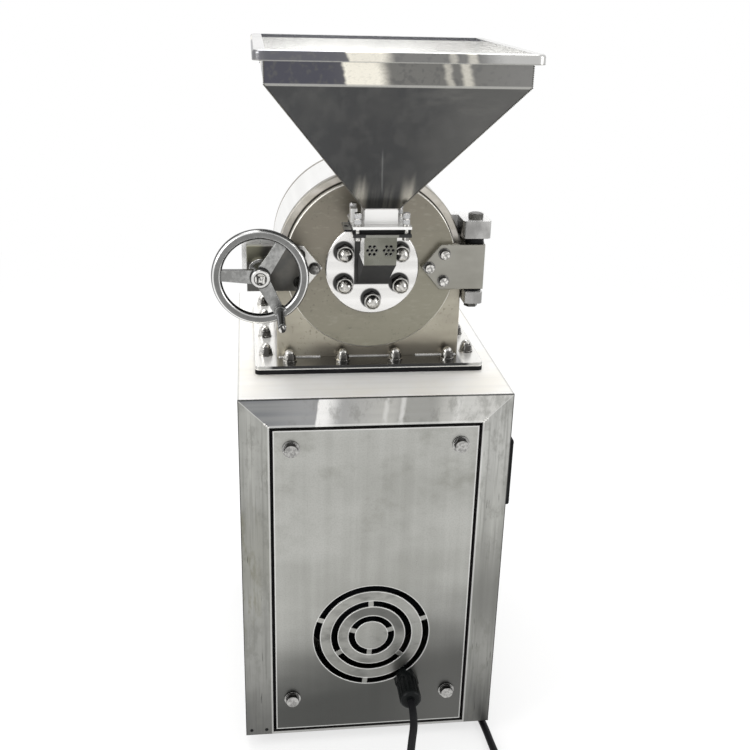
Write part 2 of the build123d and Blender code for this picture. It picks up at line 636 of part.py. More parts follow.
front_frame.part.label = "front_frame"
export_step(front_frame.part, "parts/front_frame.step")

# Cabinet shell: side and top sheets with a rear flange
with BuildPart() as cabinet_shell:
    with BuildSketch(front_plane(BACK)):
        outline(-HALF, HALF, BOTTOM, TOP)
        outline(-INNER_HALF, INNER_HALF, BOTTOM, TOP - SHEET, Mode.SUBTRACT)
    extrude(amount=CABINET_DEPTH - SHEET)
    with BuildSketch(front_plane(BACK)):
        outline(-INNER_HALF, INNER_HALF, BOTTOM, TOP - SHEET)
        flange_half = INNER_HALF - REAR_FLANGE
        outline(-flange_half, flange_half, BOTTOM, TOP - SHEET - REAR_FLANGE, Mode.SUBTRACT)
        with Locations(*REAR_BOLT_PLACES):
            Circle(BOLT_SHANK + SLIP, mode=Mode.SUBTRACT)
    extrude(amount=SHEET)
    with BuildSketch(Plane.XY.offset(TOP - SHEET)):
        outline(-OUTLET_HALF_WIDTH, OUTLET_HALF_WIDTH, OUTLET_FRONT, OUTLET_BACK)
        slot_half = GUARD_RADIUS - GUARD_SHEET
        outline(-slot_half, slot_half, GUARD_FRONT + GUARD_SHEET, GUARD_BACK - GUARD_SHEET)
        with Locations(*BED_BOLT_PLACES):
            Circle(BED_BOLT_SHANK + SLIP)
        with Locations(*GUARD_BOLT_PLACES):
            Circle(SMALL_BOLT_SHANK + SLIP)
    extrude(amount=SHEET, mode=Mode.SUBTRACT)
    with BuildSketch(right_plane(INNER_HALF, OUTLET_MIDDLE, SPOUT_Z)):
        Circle(SPOUT_BORE_RADIUS)
        with GridLocations(SPOUT_BOLT_SPREAD, SPOUT_BOLT_SPREAD, 2, 2):
            Circle(SMALL_BOLT_SHANK + SLIP)
    extrude(amount=SHEET, mode=Mode.SUBTRACT)
cabinet_shell.part.label = "cabinet_shell"
export_step(cabinet_shell.part, "parts/cabinet_shell.step")

# Base tray: the cabinet's floor with upturned edges
with BuildPart() as base_tray:
    with BuildSketch(Plane.XY.offset(BOTTOM)):
        outline(-INNER_HALF, INNER_HALF, LANDING_BACK, BACK - SHEET)
    extrude(amount=TRAY_EDGE)
    with BuildSketch(Plane.XY.offset(TRAY_TOP)):
        outline(-INNER_HALF + SHEET, INNER_HALF - SHEET, LANDING_BACK, BACK - 2 * SHEET)
    extrude(amount=TRAY_EDGE, mode=Mode.SUBTRACT)
    with BuildSketch(Plane.XY.offset(BOTTOM)):
        with Locations(*FOOT_PLACES):
            Circle(FOOT_STUD_RADIUS + SLIP)
    extrude(amount=SHEET, mode=Mode.SUBTRACT)
base_tray.part.label = "base_tray"
export_step(base_tray.part, "parts/base_tray.step")

# Feet: rubber pads with a stud through the tray
with BuildPart() as feet:
    with BuildSketch(Plane.XY):
        with Locations(*FOOT_PLACES):
            Circle(FOOT_RADIUS)
    extrude(amount=FOOT_HEIGHT)
    chamfer(feet.edges().group_by(Axis.Z)[0], length=FOOT_CHAMFER)
    with BuildSketch(Plane.XY.offset(FOOT_HEIGHT)):
        with Locations(*FOOT_PLACES):
            Circle(FOOT_STUD_RADIUS)
    extrude(amount=FOOT_STUD)
feet.part.label = "feet"
export_step(feet.part, "parts/feet.step")

# Access panel: a folded pan with bolt bosses, three rings of cooling slots and the gland's hole
with BuildPart() as access_panel:
    with BuildSketch(front_plane(PANEL_EDGE_BACK)):
        outline(-PANEL_HALF, PANEL_HALF, PANEL_BOTTOM, PANEL_TOP)
    extrude(amount=PANEL_DEPTH)
    with BuildSketch(front_plane(PANEL_EDGE_BACK)):
        pan_half = PANEL_HALF - PANEL_SKIN
        outline(-pan_half, pan_half, PANEL_BOTTOM + PANEL_SKIN, PANEL_TOP - PANEL_SKIN)
        with Locations(*PANEL_BOLT_PLACES):
            Circle(PANEL_BOSS_RADIUS, mode=Mode.SUBTRACT)
    extrude(amount=PANEL_DEPTH - PANEL_SKIN, mode=Mode.SUBTRACT)
    with BuildSketch(front_plane(PANEL_EDGE_BACK)):
        with Locations(*PANEL_BOLT_PLACES):
            Circle(BOLT_SHANK + SLIP)
        with Locations((GLAND_X, GLAND_Z)):
            Circle(GLAND_THREAD_RADIUS + SLIP)
    extrude(amount=PANEL_DEPTH, mode=Mode.SUBTRACT)
    for ring_radius, bridge_angles in zip(VENT_OUTER_RADII, VENT_BRIDGE_ANGLES):
        with BuildSketch(front_plane(CABINET_FRONT + PANEL_SKIN, 0, MOTOR_AXIS)):
            Circle(ring_radius)
            Circle(ring_radius - VENT_SLOT, mode=Mode.SUBTRACT)
            for angle in bridge_angles:
                with PolarLocations(radius=ring_radius - VENT_SLOT / 2, count=1, start_angle=angle):
                    Rectangle(2 * VENT_SLOT, VENT_BRIDGE, mode=Mode.SUBTRACT)
        extrude(amount=PANEL_SKIN, mode=Mode.SUBTRACT)
access_panel.part.label = "access_panel"
export_step(access_panel.part, "parts/access_panel.step")

# Seal between the panel's folded edge and the landing strip
with BuildPart() as panel_seal:
    with BuildSketch(front_plane(CABINET_FRONT + RETURN_DEPTH)):
        seal_half = OPENING_HALF - GAP
        outline(-seal_half, seal_half, OPENING_BOTTOM + GAP, OPENING_TOP - GAP)
        seal_inner = seal_half - SEAL_WIDTH
        outline(
            -seal_inner,
            seal_inner,
            OPENING_BOTTOM + GAP + SEAL_WIDTH,
            OPENING_TOP - GAP - SEAL_WIDTH,
            Mode.SUBTRACT,
        )
    extrude(amount=SEAL_THICKNESS)
panel_seal.part.label = "panel_seal"
export_step(panel_seal.part, "parts/panel_seal.step")

# Rear panel with two columns of pressed louvres
with BuildPart() as rear_panel:
    with BuildSketch(back_plane(BACK)):
        outline(-REAR_HALF, REAR_HALF, REAR_BOTTOM, REAR_TOP)
        with Locations(*REAR_BOLT_PLACES):
            Circle(BOLT_SHANK + SLIP, mode=Mode.SUBTRACT)
        with Locations((0, MOTOR_AXIS)):
            with GridLocations(2 * LOUVRE_COLUMN_X, LOUVRE_PITCH, 2, LOUVRE_ROWS):
                Rectangle(LOUVRE_WIDTH, LOUVRE_HEIGHT, mode=Mode.SUBTRACT)
    extrude(amount=PANEL_SKIN)
    hood_face = BACK + PANEL_SKIN
    for column_x in (-LOUVRE_COLUMN_X, LOUVRE_COLUMN_X):
        for row in range(LOUVRE_ROWS):
            slot_top = MOTOR_AXIS + (row - (LOUVRE_ROWS - 1) / 2) * LOUVRE_PITCH + LOUVRE_HEIGHT / 2
            with BuildSketch(right_plane(column_x - LOUVRE_WIDTH / 2)):
                with BuildLine():
                    Polyline(
                        (hood_face, slot_top + PANEL_SKIN),
                        (hood_face + LOUVRE_HEIGHT, slot_top - LOUVRE_HEIGHT / 2),
                        (hood_face + LOUVRE_HEIGHT, slot_top - LOUVRE_HEIGHT / 2 - PANEL_SKIN),
                        (hood_face, slot_top),
                        close=True,
                    )
                make_face()
            extrude(amount=LOUVRE_WIDTH)
rear_panel.part.label = "rear_panel"
export_step(rear_panel.part, "parts/rear_panel.step")

# Flanged hex bolt, head up, its seat at the origin
with BuildPart() as flanged_bolt:
    with BuildSketch(Plane.XY):
        hexagon(BOLT_FLATS)
    extrude(amount=BOLT_FLANGE + BOLT_HEAD)
    with BuildSketch(Plane.XY):
        corner_circle(BOLT_FLATS)
    extrude(amount=BOLT_FLANGE + BOLT_HEAD, taper=HEX_TAPER, mode=Mode.INTERSECT)
    with BuildSketch(Plane.XY):
        Circle(BOLT_FLANGE_RADIUS)
    extrude(amount=BOLT_FLANGE)
    with BuildSketch(Plane.XY):
        Circle(BOLT_SHANK)
    extrude(amount=-BOLT_LENGTH)

# Bolts of the access panel, the rear panel and the motor
with BuildPart() as panel_bolts:
    with Locations(*[front_plane(CABINET_FRONT, x, z) for x, z in PANEL_BOLT_PLACES]):
        add(flanged_bolt.part)
    with Locations(*[back_plane(BACK + PANEL_SKIN, x, z) for x, z in REAR_BOLT_PLACES]):
        add(flanged_bolt.part)
    with Locations(*[(x, y, MOTOR_FOOT_BOTTOM + MOTOR_FOOT) for x, y in MOTOR_BOLT_PLACES]):
        add(flanged_bolt.part)
panel_bolts.part.label = "panel_bolts"
export_step(panel_bolts.part, "parts/panel_bolts.step")

# Cable gland: body with its thread, domed nut with ribs, and locknut inside the panel
with BuildPart() as cable_gland:
    with BuildSketch(front_plane(CABINET_FRONT, GLAND_X, GLAND_Z)):
        hexagon(GLAND_FLATS)
    extrude(amount=GLAND_BODY)
    with BuildSketch(front_plane(CABINET_FRONT + GLAND_THREAD, GLAND_X, GLAND_Z)):
        Circle(GLAND_THREAD_RADIUS)
    extrude(amount=GLAND_THREAD)
with BuildPart() as gland_nut:
    with BuildSketch(front_plane(CABINET_FRONT - GLAND_BODY, GLAND_X, GLAND_Z)):
        Circle(GLAND_NUT_RADIUS)
    extrude(amount=GLAND_NUT)
    fillet(gland_nut.edges().group_by(Axis.Y)[0], radius=GLAND_NUT_DOME)
    with BuildSketch(front_plane(CABINET_FRONT - GLAND_BODY, GLAND_X, GLAND_Z)):
        with PolarLocations(radius=GLAND_NUT_RADIUS, count=GLAND_RIBS):
            Circle(GLAND_RIB_RADIUS)
    extrude(amount=GLAND_NUT - GLAND_NUT_DOME, mode=Mode.SUBTRACT)
with BuildPart() as gland_locknut:
    with BuildSketch(front_plane(CABINET_FRONT + PANEL_SKIN + GLAND_LOCKNUT, GLAND_X, GLAND_Z)):
        hexagon(GLAND_FLATS)
        Circle(GLAND_THREAD_RADIUS + RUN, mode=Mode.SUBTRACT)
    extrude(amount=GLAND_LOCKNUT)
gland_pieces = Compound(children=[cable_gland.part, gland_nut.part, gland_locknut.part])
gland_pieces.label = "cable_gland"
export_step(gland_pieces, "parts/cable_gland.step")

# Starter: a box with two button wells
BUTTON_PLACES = {"start": (0, BUTTON_SPACING / 2), "stop": (0, -BUTTON_SPACING / 2)}
with BuildPart() as starter_box:
    with BuildSketch(right_plane(HALF, STARTER_Y, STARTER_Z)):
        RectangleRounded(STARTER_WIDTH, STARTER_HEIGHT, STARTER_FILLET)
    extrude(amount=STARTER_DEPTH)
    fillet(starter_box.faces().sort_by(Axis.X)[-1].edges(), radius=STARTER_FILLET / 2)
    with BuildSketch(right_plane(STARTER_FACE, STARTER_Y, STARTER_Z)):
        with Locations(*BUTTON_PLACES.values()):
            Circle(BUTTON_RADIUS + SLIP)
    well_depth = BUTTON_LENGTH - BUTTON_PROUD + BUTTON_TRAVEL + GAP
    extrude(amount=-well_depth, mode=Mode.SUBTRACT)
starter_box.part.label = "starter_box"
export_step(starter_box.part, "parts/starter_box.step")

# Push buttons
with BuildPart() as start_button:
    start_y, start_z = BUTTON_PLACES["start"]
    with BuildSketch(right_plane(STARTER_FACE + BUTTON_PROUD, STARTER_Y + start_y, STARTER_Z + start_z)):
        Circle(BUTTON_RADIUS)
    extrude(amount=-BUTTON_LENGTH)
    fillet(start_button.edges().group_by(Axis.X)[-1], radius=BUTTON_FILLET)
start_button.part.label = "start_button"
export_step(start_button.part, "parts/start_button.step")
with BuildPart() as stop_button:
    stop_y, stop_z = BUTTON_PLACES["stop"]
    with BuildSketch(right_plane(STARTER_FACE + BUTTON_PROUD, STARTER_Y + stop_y, STARTER_Z + stop_z)):
        Circle(BUTTON_RADIUS)
    extrude(amount=-BUTTON_LENGTH)
    fillet(stop_button.edges().group_by(Axis.X)[-1], radius=BUTTON_FILLET)
stop_button.part.label = "stop_button"
export_step(stop_button.part, "parts/stop_button.step")

# Discharge duct from the chamber down to the right side, with a flange under the cabinet's top
with BuildPart() as discharge_chute:
    duct_top = TOP - SHEET
    with BuildSketch(front_plane(OUTLET_BACK)):
        with BuildLine():
            Polyline(
                (-OUTLET_HALF_WIDTH, duct_top),
                (OUTLET_HALF_WIDTH, duct_top),
                (OUTLET_HALF_WIDTH, duct_top - DUCT_SIDE_DROP),
                (INNER_HALF, SPOUT_Z + DUCT_MOUTH / 2),
                (INNER_HALF, SPOUT_Z - DUCT_MOUTH / 2),
                (-OUTLET_HALF_WIDTH, duct_top - DUCT_FAR_DROP),
                close=True,
            )
        make_face()
    extrude(amount=OUTLET_BACK - OUTLET_FRONT)
    duct_inlet = discharge_chute.faces().sort_by(Axis.Z)[-1]
    duct_outlet = discharge_chute.faces().sort_by(Axis.X)[-1]
    offset(amount=-DUCT_WALL, openings=[duct_inlet, duct_outlet])
    with BuildSketch(Plane.XY.offset(duct_top)):
        duct_reach = OUTLET_HALF_WIDTH + DUCT_FLANGE
        outline(-duct_reach, duct_reach, OUTLET_FRONT - DUCT_FLANGE, OUTLET_BACK + DUCT_FLANGE)
        outline(-OUTLET_HALF_WIDTH, OUTLET_HALF_WIDTH, OUTLET_FRONT, OUTLET_BACK, Mode.SUBTRACT)
    extrude(amount=-SHEET)
discharge_chute.part.label = "discharge_chute"
export_step(discharge_chute.part, "parts/discharge_chute.step")

# Discharge spout: a plate on the cabinet's side with a round collar for the bag
with BuildPart() as discharge_spout:
    with BuildSketch(right_plane(HALF, OUTLET_MIDDLE, SPOUT_Z)):
        Rectangle(SPOUT_PLATE, SPOUT_PLATE)
        Circle(SPOUT_BORE_RADIUS, mode=Mode.SUBTRACT)
        with GridLocations(SPOUT_BOLT_SPREAD, SPOUT_BOLT_SPREAD, 2, 2):
            Circle(SMALL_BOLT_SHANK + SLIP, mode=Mode.SUBTRACT)
    extrude(amount=SHEET)
    with BuildSketch(right_plane(HALF, OUTLET_MIDDLE, SPOUT_Z)):
        Circle(SPOUT_BORE_RADIUS + SPOUT_SHEET)
        Circle(SPOUT_BORE_RADIUS, mode=Mode.SUBTRACT)
    extrude(amount=SPOUT_LENGTH)
discharge_spout.part.label = "discharge_spout"
export_step(discharge_spout.part, "parts/discharge_spout.step")

# Gasket and bed plate under the mill
with BuildPart() as bed_gasket:
    with BuildSketch(Plane.XY.offset(TOP)):
        outline(-BED_HALF, BED_HALF, BED_FRONT, BED_BACK)
        outline(-OUTLET_HALF_WIDTH, OUTLET_HALF_WIDTH, OUTLET_FRONT, OUTLET_BACK, Mode.SUBTRACT)
        with Locations(*BED_BOLT_PLACES):
            Circle(BED_BOLT_SHANK + SLIP, mode=Mode.SUBTRACT)
    extrude(amount=BED_GASKET)
    fillet(bed_gasket.edges().filter_by(Axis.Z).group_by(Axis.X)[0], radius=BED_CORNER)
    fillet(bed_gasket.edges().filter_by(Axis.Z).group_by(Axis.X)[-1], radius=BED_CORNER)
bed_gasket.part.label = "bed_gasket"
export_step(bed_gasket.part, "parts/bed_gasket.step")
with BuildPart() as bed_plate:
    with BuildSketch(Plane.XY.offset(BED_BOTTOM)):
        outline(-BED_HALF, BED_HALF, BED_FRONT, BED_BACK)
        outline(-OUTLET_HALF_WIDTH, OUTLET_HALF_WIDTH, OUTLET_FRONT, OUTLET_BACK, Mode.SUBTRACT)
        with Locations(*BED_BOLT_PLACES):
            Circle(BED_BOLT_SHANK + SLIP, mode=Mode.SUBTRACT)
    extrude(amount=BED_THICKNESS)
    fillet(bed_plate.edges().filter_by(Axis.Z).group_by(Axis.X)[0], radius=BED_CORNER)
    fillet(bed_plate.edges().filter_by(Axis.Z).group_by(Axis.X)[-1], radius=BED_CORNER)
bed_plate.part.label = "bed_plate"
export_step(bed_plate.part, "parts/bed_plate.step")

# Bed bolt: washer, domed nut and stud, with a nut under the cabinet's top; its seat is at the origin
with BuildPart() as bed_bolt:
    with BuildSketch(Plane.XY):
        hexagon(BED_BOLT_FLATS)
    extrude(amount=BED_BOLT_WASHER + BED_BOLT_HEX)
    with BuildSketch(Plane.XY):
        corner_circle(BED_BOLT_FLATS)
    extrude(amount=BED_BOLT_WASHER + BED_BOLT_HEX, taper=HEX_TAPER, mode=Mode.INTERSECT)
    with BuildSketch(Plane.XY):
        Circle(BED_BOLT_WASHER_RADIUS)
    extrude(amount=BED_BOLT_WASHER)
    with Locations((0, 0, BED_BOLT_WASHER + BED_BOLT_HEX)):
        Sphere(BED_BOLT_DOME)
    stack = BED_THICKNESS + BED_GASKET + SHEET
    with BuildSketch(Plane.XY):
        Circle(BED_BOLT_SHANK)
    extrude(amount=-stack)
    with BuildSketch(Plane.XY.offset(-stack)):
        hexagon(BED_BOLT_FLATS)
    extrude(amount=-BED_BOLT_NUT)
with BuildPart() as bed_bolts:
    with Locations(*[(x, y, BED_TOP) for x, y in BED_BOLT_PLACES]):
        add(bed_bolt.part)
bed_bolts.part.label = "bed_bolts"
export_step(bed_bolts.part, "parts/bed_bolts.step")

# Mill housing: front plate with its mouth, drum, and rear plate with the sieve's seat
with BuildPart() as chamber_front_plate:
    with BuildSketch(front_plane(HOUSING_FRONT + HOUSING_PLATE)):
        arch(HOUSING_RADIUS, BED_TOP)
    extrude(amount=HOUSING_PLATE)
    chamfer(chamber_front_plate.faces().sort_by(Axis.Y)[0].edges().filter_by(GeomType.CIRCLE), HOUSING_CHAMFER)
    with BuildSketch(front_plane(HOUSING_FRONT + HOUSING_PLATE)):
        with Locations((0, MILL_AXIS)):
            Circle(HOUSING_MOUTH_RADIUS)
    extrude(amount=HOUSING_PLATE, mode=Mode.SUBTRACT)
chamber_front_plate.part.label = "chamber_front_plate"
export_step(chamber_front_plate.part, "parts/chamber_front_plate.step")
with BuildPart() as chamber_shell:
    with BuildSketch(front_plane(REAR_PLATE_FRONT)):
        arch(HOUSING_RADIUS, BED_TOP)
        arch(HOUSING_RADIUS - HOUSING_WALL, BED_TOP, Mode.SUBTRACT)
    extrude(amount=HOUSING_DEPTH - 2 * HOUSING_PLATE)
chamber_shell.part.label = "chamber_shell"
export_step(chamber_shell.part, "parts/chamber_shell.step")
with BuildPart() as chamber_rear_plate:
    with BuildSketch(front_plane(HOUSING_BACK)):
        arch(HOUSING_RADIUS, BED_TOP)
    extrude(amount=HOUSING_PLATE)
    seat_radius = SIEVE_RADIUS - SIEVE_WALL - GAP
    with BuildSketch(front_plane(REAR_PLATE_FRONT, 0, MILL_AXIS)):
        Circle(seat_radius)
        Circle(seat_radius - SIEVE_SEAT_WALL, mode=Mode.SUBTRACT)
    extrude(amount=SIEVE_SEAT)
    with BuildSketch(front_plane(HOUSING_BACK, 0, MILL_AXIS)):
        Circle(NOSE_RADIUS + SLIP)
        with PolarLocations(radius=FLANGE_BOLT_CIRCLE, count=COVER_BOLT_COUNT):
            Circle(SMALL_BOLT_SHANK + SLIP)
    extrude(amount=HOUSING_PLATE, mode=Mode.SUBTRACT)
chamber_rear_plate.part.label = "chamber_rear_plate"
export_step(chamber_rear_plate.part, "parts/chamber_rear_plate.step")

# Ring sieve: a thin drum with slots all round
with BuildPart() as ring_sieve:
    sieve_length = REAR_PLATE_FRONT - HOUSING_FRONT - HOUSING_PLATE - SHEET
    with BuildSketch(front_plane(REAR_PLATE_FRONT, 0, MILL_AXIS)):
        Circle(SIEVE_RADIUS)
        Circle(SIEVE_RADIUS - SIEVE_WALL, mode=Mode.SUBTRACT)
    extrude(amount=sieve_length)
    with BuildSketch(front_plane(REAR_PLATE_FRONT - SIEVE_MARGIN, 0, MILL_AXIS)):
        with PolarLocations(radius=SIEVE_RADIUS, count=SIEVE_SLOTS):
            Rectangle(4 * SIEVE_WALL, SIEVE_SLOT_WIDTH)
    extrude(amount=sieve_length - 2 * SIEVE_MARGIN, mode=Mode.SUBTRACT)
ring_sieve.part.label = "ring_sieve"
export_step(ring_sieve.part, "parts/ring_sieve.step")

# Door: a round plate with the feed window, stud holes and bolt holes
with BuildPart() as door:
    with BuildSketch(front_plane(DOOR_BACK, 0, MILL_AXIS)):
        Circle(DOOR_RADIUS)
    extrude(amount=DOOR_THICKNESS)
    fillet(door.edges().group_by(Axis.Y)[0], radius=DOOR_EDGE)
    with BuildSketch(front_plane(DOOR_BACK)):
        with Locations((0, WINDOW_Z)):
            Rectangle(WINDOW_WIDTH, WINDOW_HEIGHT)
        with Locations((0, MILL_AXIS)):
            with PolarLocations(radius=STUD_CIRCLE, count=STUD_COUNT, start_angle=STUD_FIRST_ANGLE):
                Circle(STUD_RADIUS + SLIP)
        with Locations(*LEAF_BOLT_PLACES):
            Circle(LEAF_BOLT_SHANK + SLIP)
    extrude(amount=DOOR_THICKNESS, mode=Mode.SUBTRACT)
door.part.label = "door"
export_step(door.part, "parts/door.step")
with BuildPart() as door_gasket:
    with BuildSketch(front_plane(DOOR_BACK + DOOR_GASKET, 0, MILL_AXIS)):
        Circle(DOOR_RADIUS - DOOR_GASKET_INSET)
        Circle(HOUSING_MOUTH_RADIUS + DOOR_GASKET_INSET, mode=Mode.SUBTRACT)
    extrude(amount=DOOR_GASKET)
door_gasket.part.label = "door_gasket"
export_step(door_gasket.part, "parts/door_gasket.step")

# Feed flange on the door
with BuildPart() as feed_flange:
    with BuildSketch(front_plane(DOOR_FRONT, 0, MILL_AXIS)):
        Circle(FLANGE_RADIUS)
    extrude(amount=FLANGE_THICKNESS)
    chamfer(feed_flange.edges().group_by(Axis.Y)[0], length=FLANGE_EDGE)
    with BuildSketch(front_plane(DOOR_FRONT)):
        with Locations((0, WINDOW_Z)):
            Rectangle(WINDOW_WIDTH, WINDOW_HEIGHT)
        with Locations((0, MILL_AXIS)):
            with PolarLocations(radius=STUD_CIRCLE, count=STUD_COUNT, start_angle=STUD_FIRST_ANGLE):
                Circle(STUD_RADIUS + SLIP)
    extrude(amount=FLANGE_THICKNESS, mode=Mode.SUBTRACT)
feed_flange.part.label = "feed_flange"
export_step(feed_flange.part, "parts/feed_flange.step")

# Feed nut: a domed nut on its stud, its seat at the origin
with BuildPart() as feed_nut:
    with BuildSketch(Plane.XY):
        hexagon(DOME_FLATS)
    extrude(amount=DOME_HEX)
    with BuildSketch(Plane.XY):
        corner_circle(DOME_FLATS)
    extrude(amount=DOME_HEX, taper=HEX_TAPER, mode=Mode.INTERSECT)
    with Locations((0, 0, DOME_HEX)):
        Sphere(DOME_RADIUS)
    with BuildSketch(Plane.XY):
        Circle(STUD_RADIUS)
    extrude(amount=-STUD_LENGTH)
with BuildPart() as feed_nuts:
    with Locations(front_plane(FLANGE_FRONT, 0, MILL_AXIS)):
        with PolarLocations(radius=STUD_CIRCLE, count=STUD_COUNT, start_angle=STUD_FIRST_ANGLE):
            add(feed_nut.part)
feed_nuts.part.label = "feed_nuts"
export_step(feed_nuts.part, "parts/feed_nuts.step")

# Stator: a toothed disc behind the door
with BuildPart() as stator_ring:
    with BuildSketch(front_plane(STATOR_BACK, 0, MILL_AXIS)):
        Circle(STATOR_RADIUS)
        Circle(STATOR_BORE_RADIUS, mode=Mode.SUBTRACT)
    extrude(amount=STATOR_THICKNESS)
    with BuildSketch(back_plane(STATOR_BACK, 0, MILL_AXIS)):
        with PolarLocations(radius=STATOR_TOOTH_CIRCLE, count=STATOR_TEETH):
            Rectangle(STATOR_TOOTH, STATOR_TOOTH)
    extrude(amount=STATOR_TOOTH_LENGTH)
stator_ring.part.label = "stator_ring"
export_step(stator_ring.part, "parts/stator_ring.step")

# Hinge leaf with its knuckle, and clasp leaf with the hole for the clamp screw
leaf_low = MILL_AXIS - LEAF_HEIGHT / 2
leaf_high = MILL_AXIS + LEAF_HEIGHT / 2
with BuildPart() as hinge_leaf:
    with BuildSketch(front_plane(DOOR_FRONT)):
        with BuildLine():
            Polyline(
                (LEAF_TIP_X, MILL_AXIS),
                (LEAF_SHOULDER_X, leaf_low),
                (HINGE_LEAF_END, leaf_low),
                (HINGE_LEAF_END, leaf_high),
                (LEAF_SHOULDER_X, leaf_high),
                close=True,
            )
        make_face()
    extrude(amount=LEAF_THICKNESS)
    chamfer(hinge_leaf.edges().group_by(Axis.Y)[0], length=LEAF_EDGE)
    with BuildSketch(Plane.XY.offset(KNUCKLE_BOTTOM)):
        with Locations((PIN_X, PIN_Y)):
            Circle(KNUCKLE_RADIUS)
    extrude(amount=KNUCKLE_HEIGHT)
    with BuildSketch(Plane.XY.offset(KNUCKLE_BOTTOM)):
        with Locations((PIN_X, PIN_Y)):
            Circle(PIN_RADIUS + RUN)
    extrude(amount=KNUCKLE_HEIGHT, mode=Mode.SUBTRACT)
    with BuildSketch(front_plane(DOOR_FRONT)):
        with Locations(*LEAF_BOLT_PLACES):
            Circle(LEAF_BOLT_SHANK + SLIP)
    extrude(amount=LEAF_THICKNESS, mode=Mode.SUBTRACT)
hinge_leaf.part.label = "hinge_leaf"
export_step(hinge_leaf.part, "parts/hinge_leaf.step")
with BuildPart() as clasp_leaf:
    with BuildSketch(front_plane(DOOR_FRONT)):
        with BuildLine():
            Polyline(
                (-LEAF_TIP_X, MILL_AXIS),
                (-LEAF_SHOULDER_X, leaf_low),
                (-CLASP_LEAF_END, leaf_low),
                (-CLASP_LEAF_END, leaf_high),
                (-LEAF_SHOULDER_X, leaf_high),
                close=True,
            )
        make_face()
    extrude(amount=LEAF_THICKNESS)
    chamfer(clasp_leaf.edges().group_by(Axis.Y)[0], length=LEAF_EDGE)
    with BuildSketch(front_plane(DOOR_FRONT)):
        with Locations(*LEAF_BOLT_PLACES):
            Circle(LEAF_BOLT_SHANK + SLIP)
        with Locations((CLAMP_X, MILL_AXIS)):
            Circle(CLAMP_SCREW_RADIUS + CLAMP_ROOM)
    extrude(amount=LEAF_THICKNESS, mode=Mode.SUBTRACT)
clasp_leaf.part.label = "clasp_leaf"
export_step(clasp_leaf.part, "parts/clasp_leaf.step")

# Hinge bracket: two arms on a strap that follows the housing's side
with BuildPart() as hinge_bracket:
    for arm_bottom, arm_height, arm_half in (
        (LOWER_ARM_BOTTOM, LOWER_ARM, LOWER_ARM_HALF_WIDTH),
        (UPPER_ARM_BOTTOM, UPPER_ARM, UPPER_ARM_HALF_WIDTH),
    ):
        with BuildSketch(Plane.XY.offset(arm_bottom)) as arm_sketch:
            outline(PIN_X - arm_half, PIN_X + arm_half, PIN_Y - ARM_FRONT, STRAP_BACK)
            fillet(arm_sketch.vertices().group_by(Axis.Y)[0], radius=ARM_CORNER)
            with Locations((PIN_X, PIN_Y)):
                Circle(PIN_RADIUS + RUN, mode=Mode.SUBTRACT)
        extrude(amount=arm_height)
    with BuildSketch(Plane.XY.offset(LOWER_ARM_BOTTOM)):
        outline(HOUSING_RADIUS - STRAP_ROOT, HOUSING_RADIUS + STRAP_THICKNESS, STRAP_FRONT, STRAP_BACK)
    extrude(amount=UPPER_ARM_TOP - LOWER_ARM_BOTTOM)
    with BuildSketch(front_plane(HOUSING_BACK)):
        arch(HOUSING_RADIUS, BED_TOP)
    extrude(amount=HOUSING_DEPTH, mode=Mode.SUBTRACT)
hinge_bracket.part.label = "hinge_bracket"
export_step(hinge_bracket.part, "parts/hinge_bracket.step")

# Hinge pin with a round head above and a nut below, and the spacer washers of the knuckle
with BuildPart() as hinge_pin:
    with BuildSketch(Plane.XY.offset(LOWER_ARM_BOTTOM - PIN_NUT)):
        with Locations((PIN_X, PIN_Y)):
            Circle(PIN_RADIUS)
    extrude(amount=UPPER_ARM_TOP - LOWER_ARM_BOTTOM + PIN_NUT)
    with BuildSketch(Plane.XY.offset(UPPER_ARM_TOP)):
        with Locations((PIN_X, PIN_Y)):
            Circle(PIN_RADIUS + PIN_HEAD_LEDGE)
    extrude(amount=PIN_HEAD)
    with BuildSketch(Plane.XY.offset(LOWER_ARM_BOTTOM)):
        with Locations((PIN_X, PIN_Y)):
            hexagon(2 * (PIN_RADIUS + PIN_NUT_LEDGE))
    extrude(amount=-PIN_NUT)
    chamfer(hinge_pin.faces().sort_by(Axis.Z)[-1].edges(), length=HUB_EDGE)
hinge_pin.part.label = "hinge_pin"
export_step(hinge_pin.part, "parts/hinge_pin.step")
with BuildPart() as hinge_washers:
    for washer_bottom, washer_top in (
        (LOWER_ARM_TOP, KNUCKLE_BOTTOM - GAP),
        (KNUCKLE_TOP + GAP, UPPER_ARM_BOTTOM),
    ):
        with BuildSketch(Plane.XY.offset(washer_bottom)):
            with Locations((PIN_X, PIN_Y)):
                Circle(KNUCKLE_RADIUS - WASHER_INSET)
                Circle(PIN_RADIUS + RUN, mode=Mode.SUBTRACT)
        extrude(amount=washer_top - washer_bottom)
hinge_washers.part.label = "hinge_washers"
export_step(hinge_washers.part, "parts/hinge_washers.step")

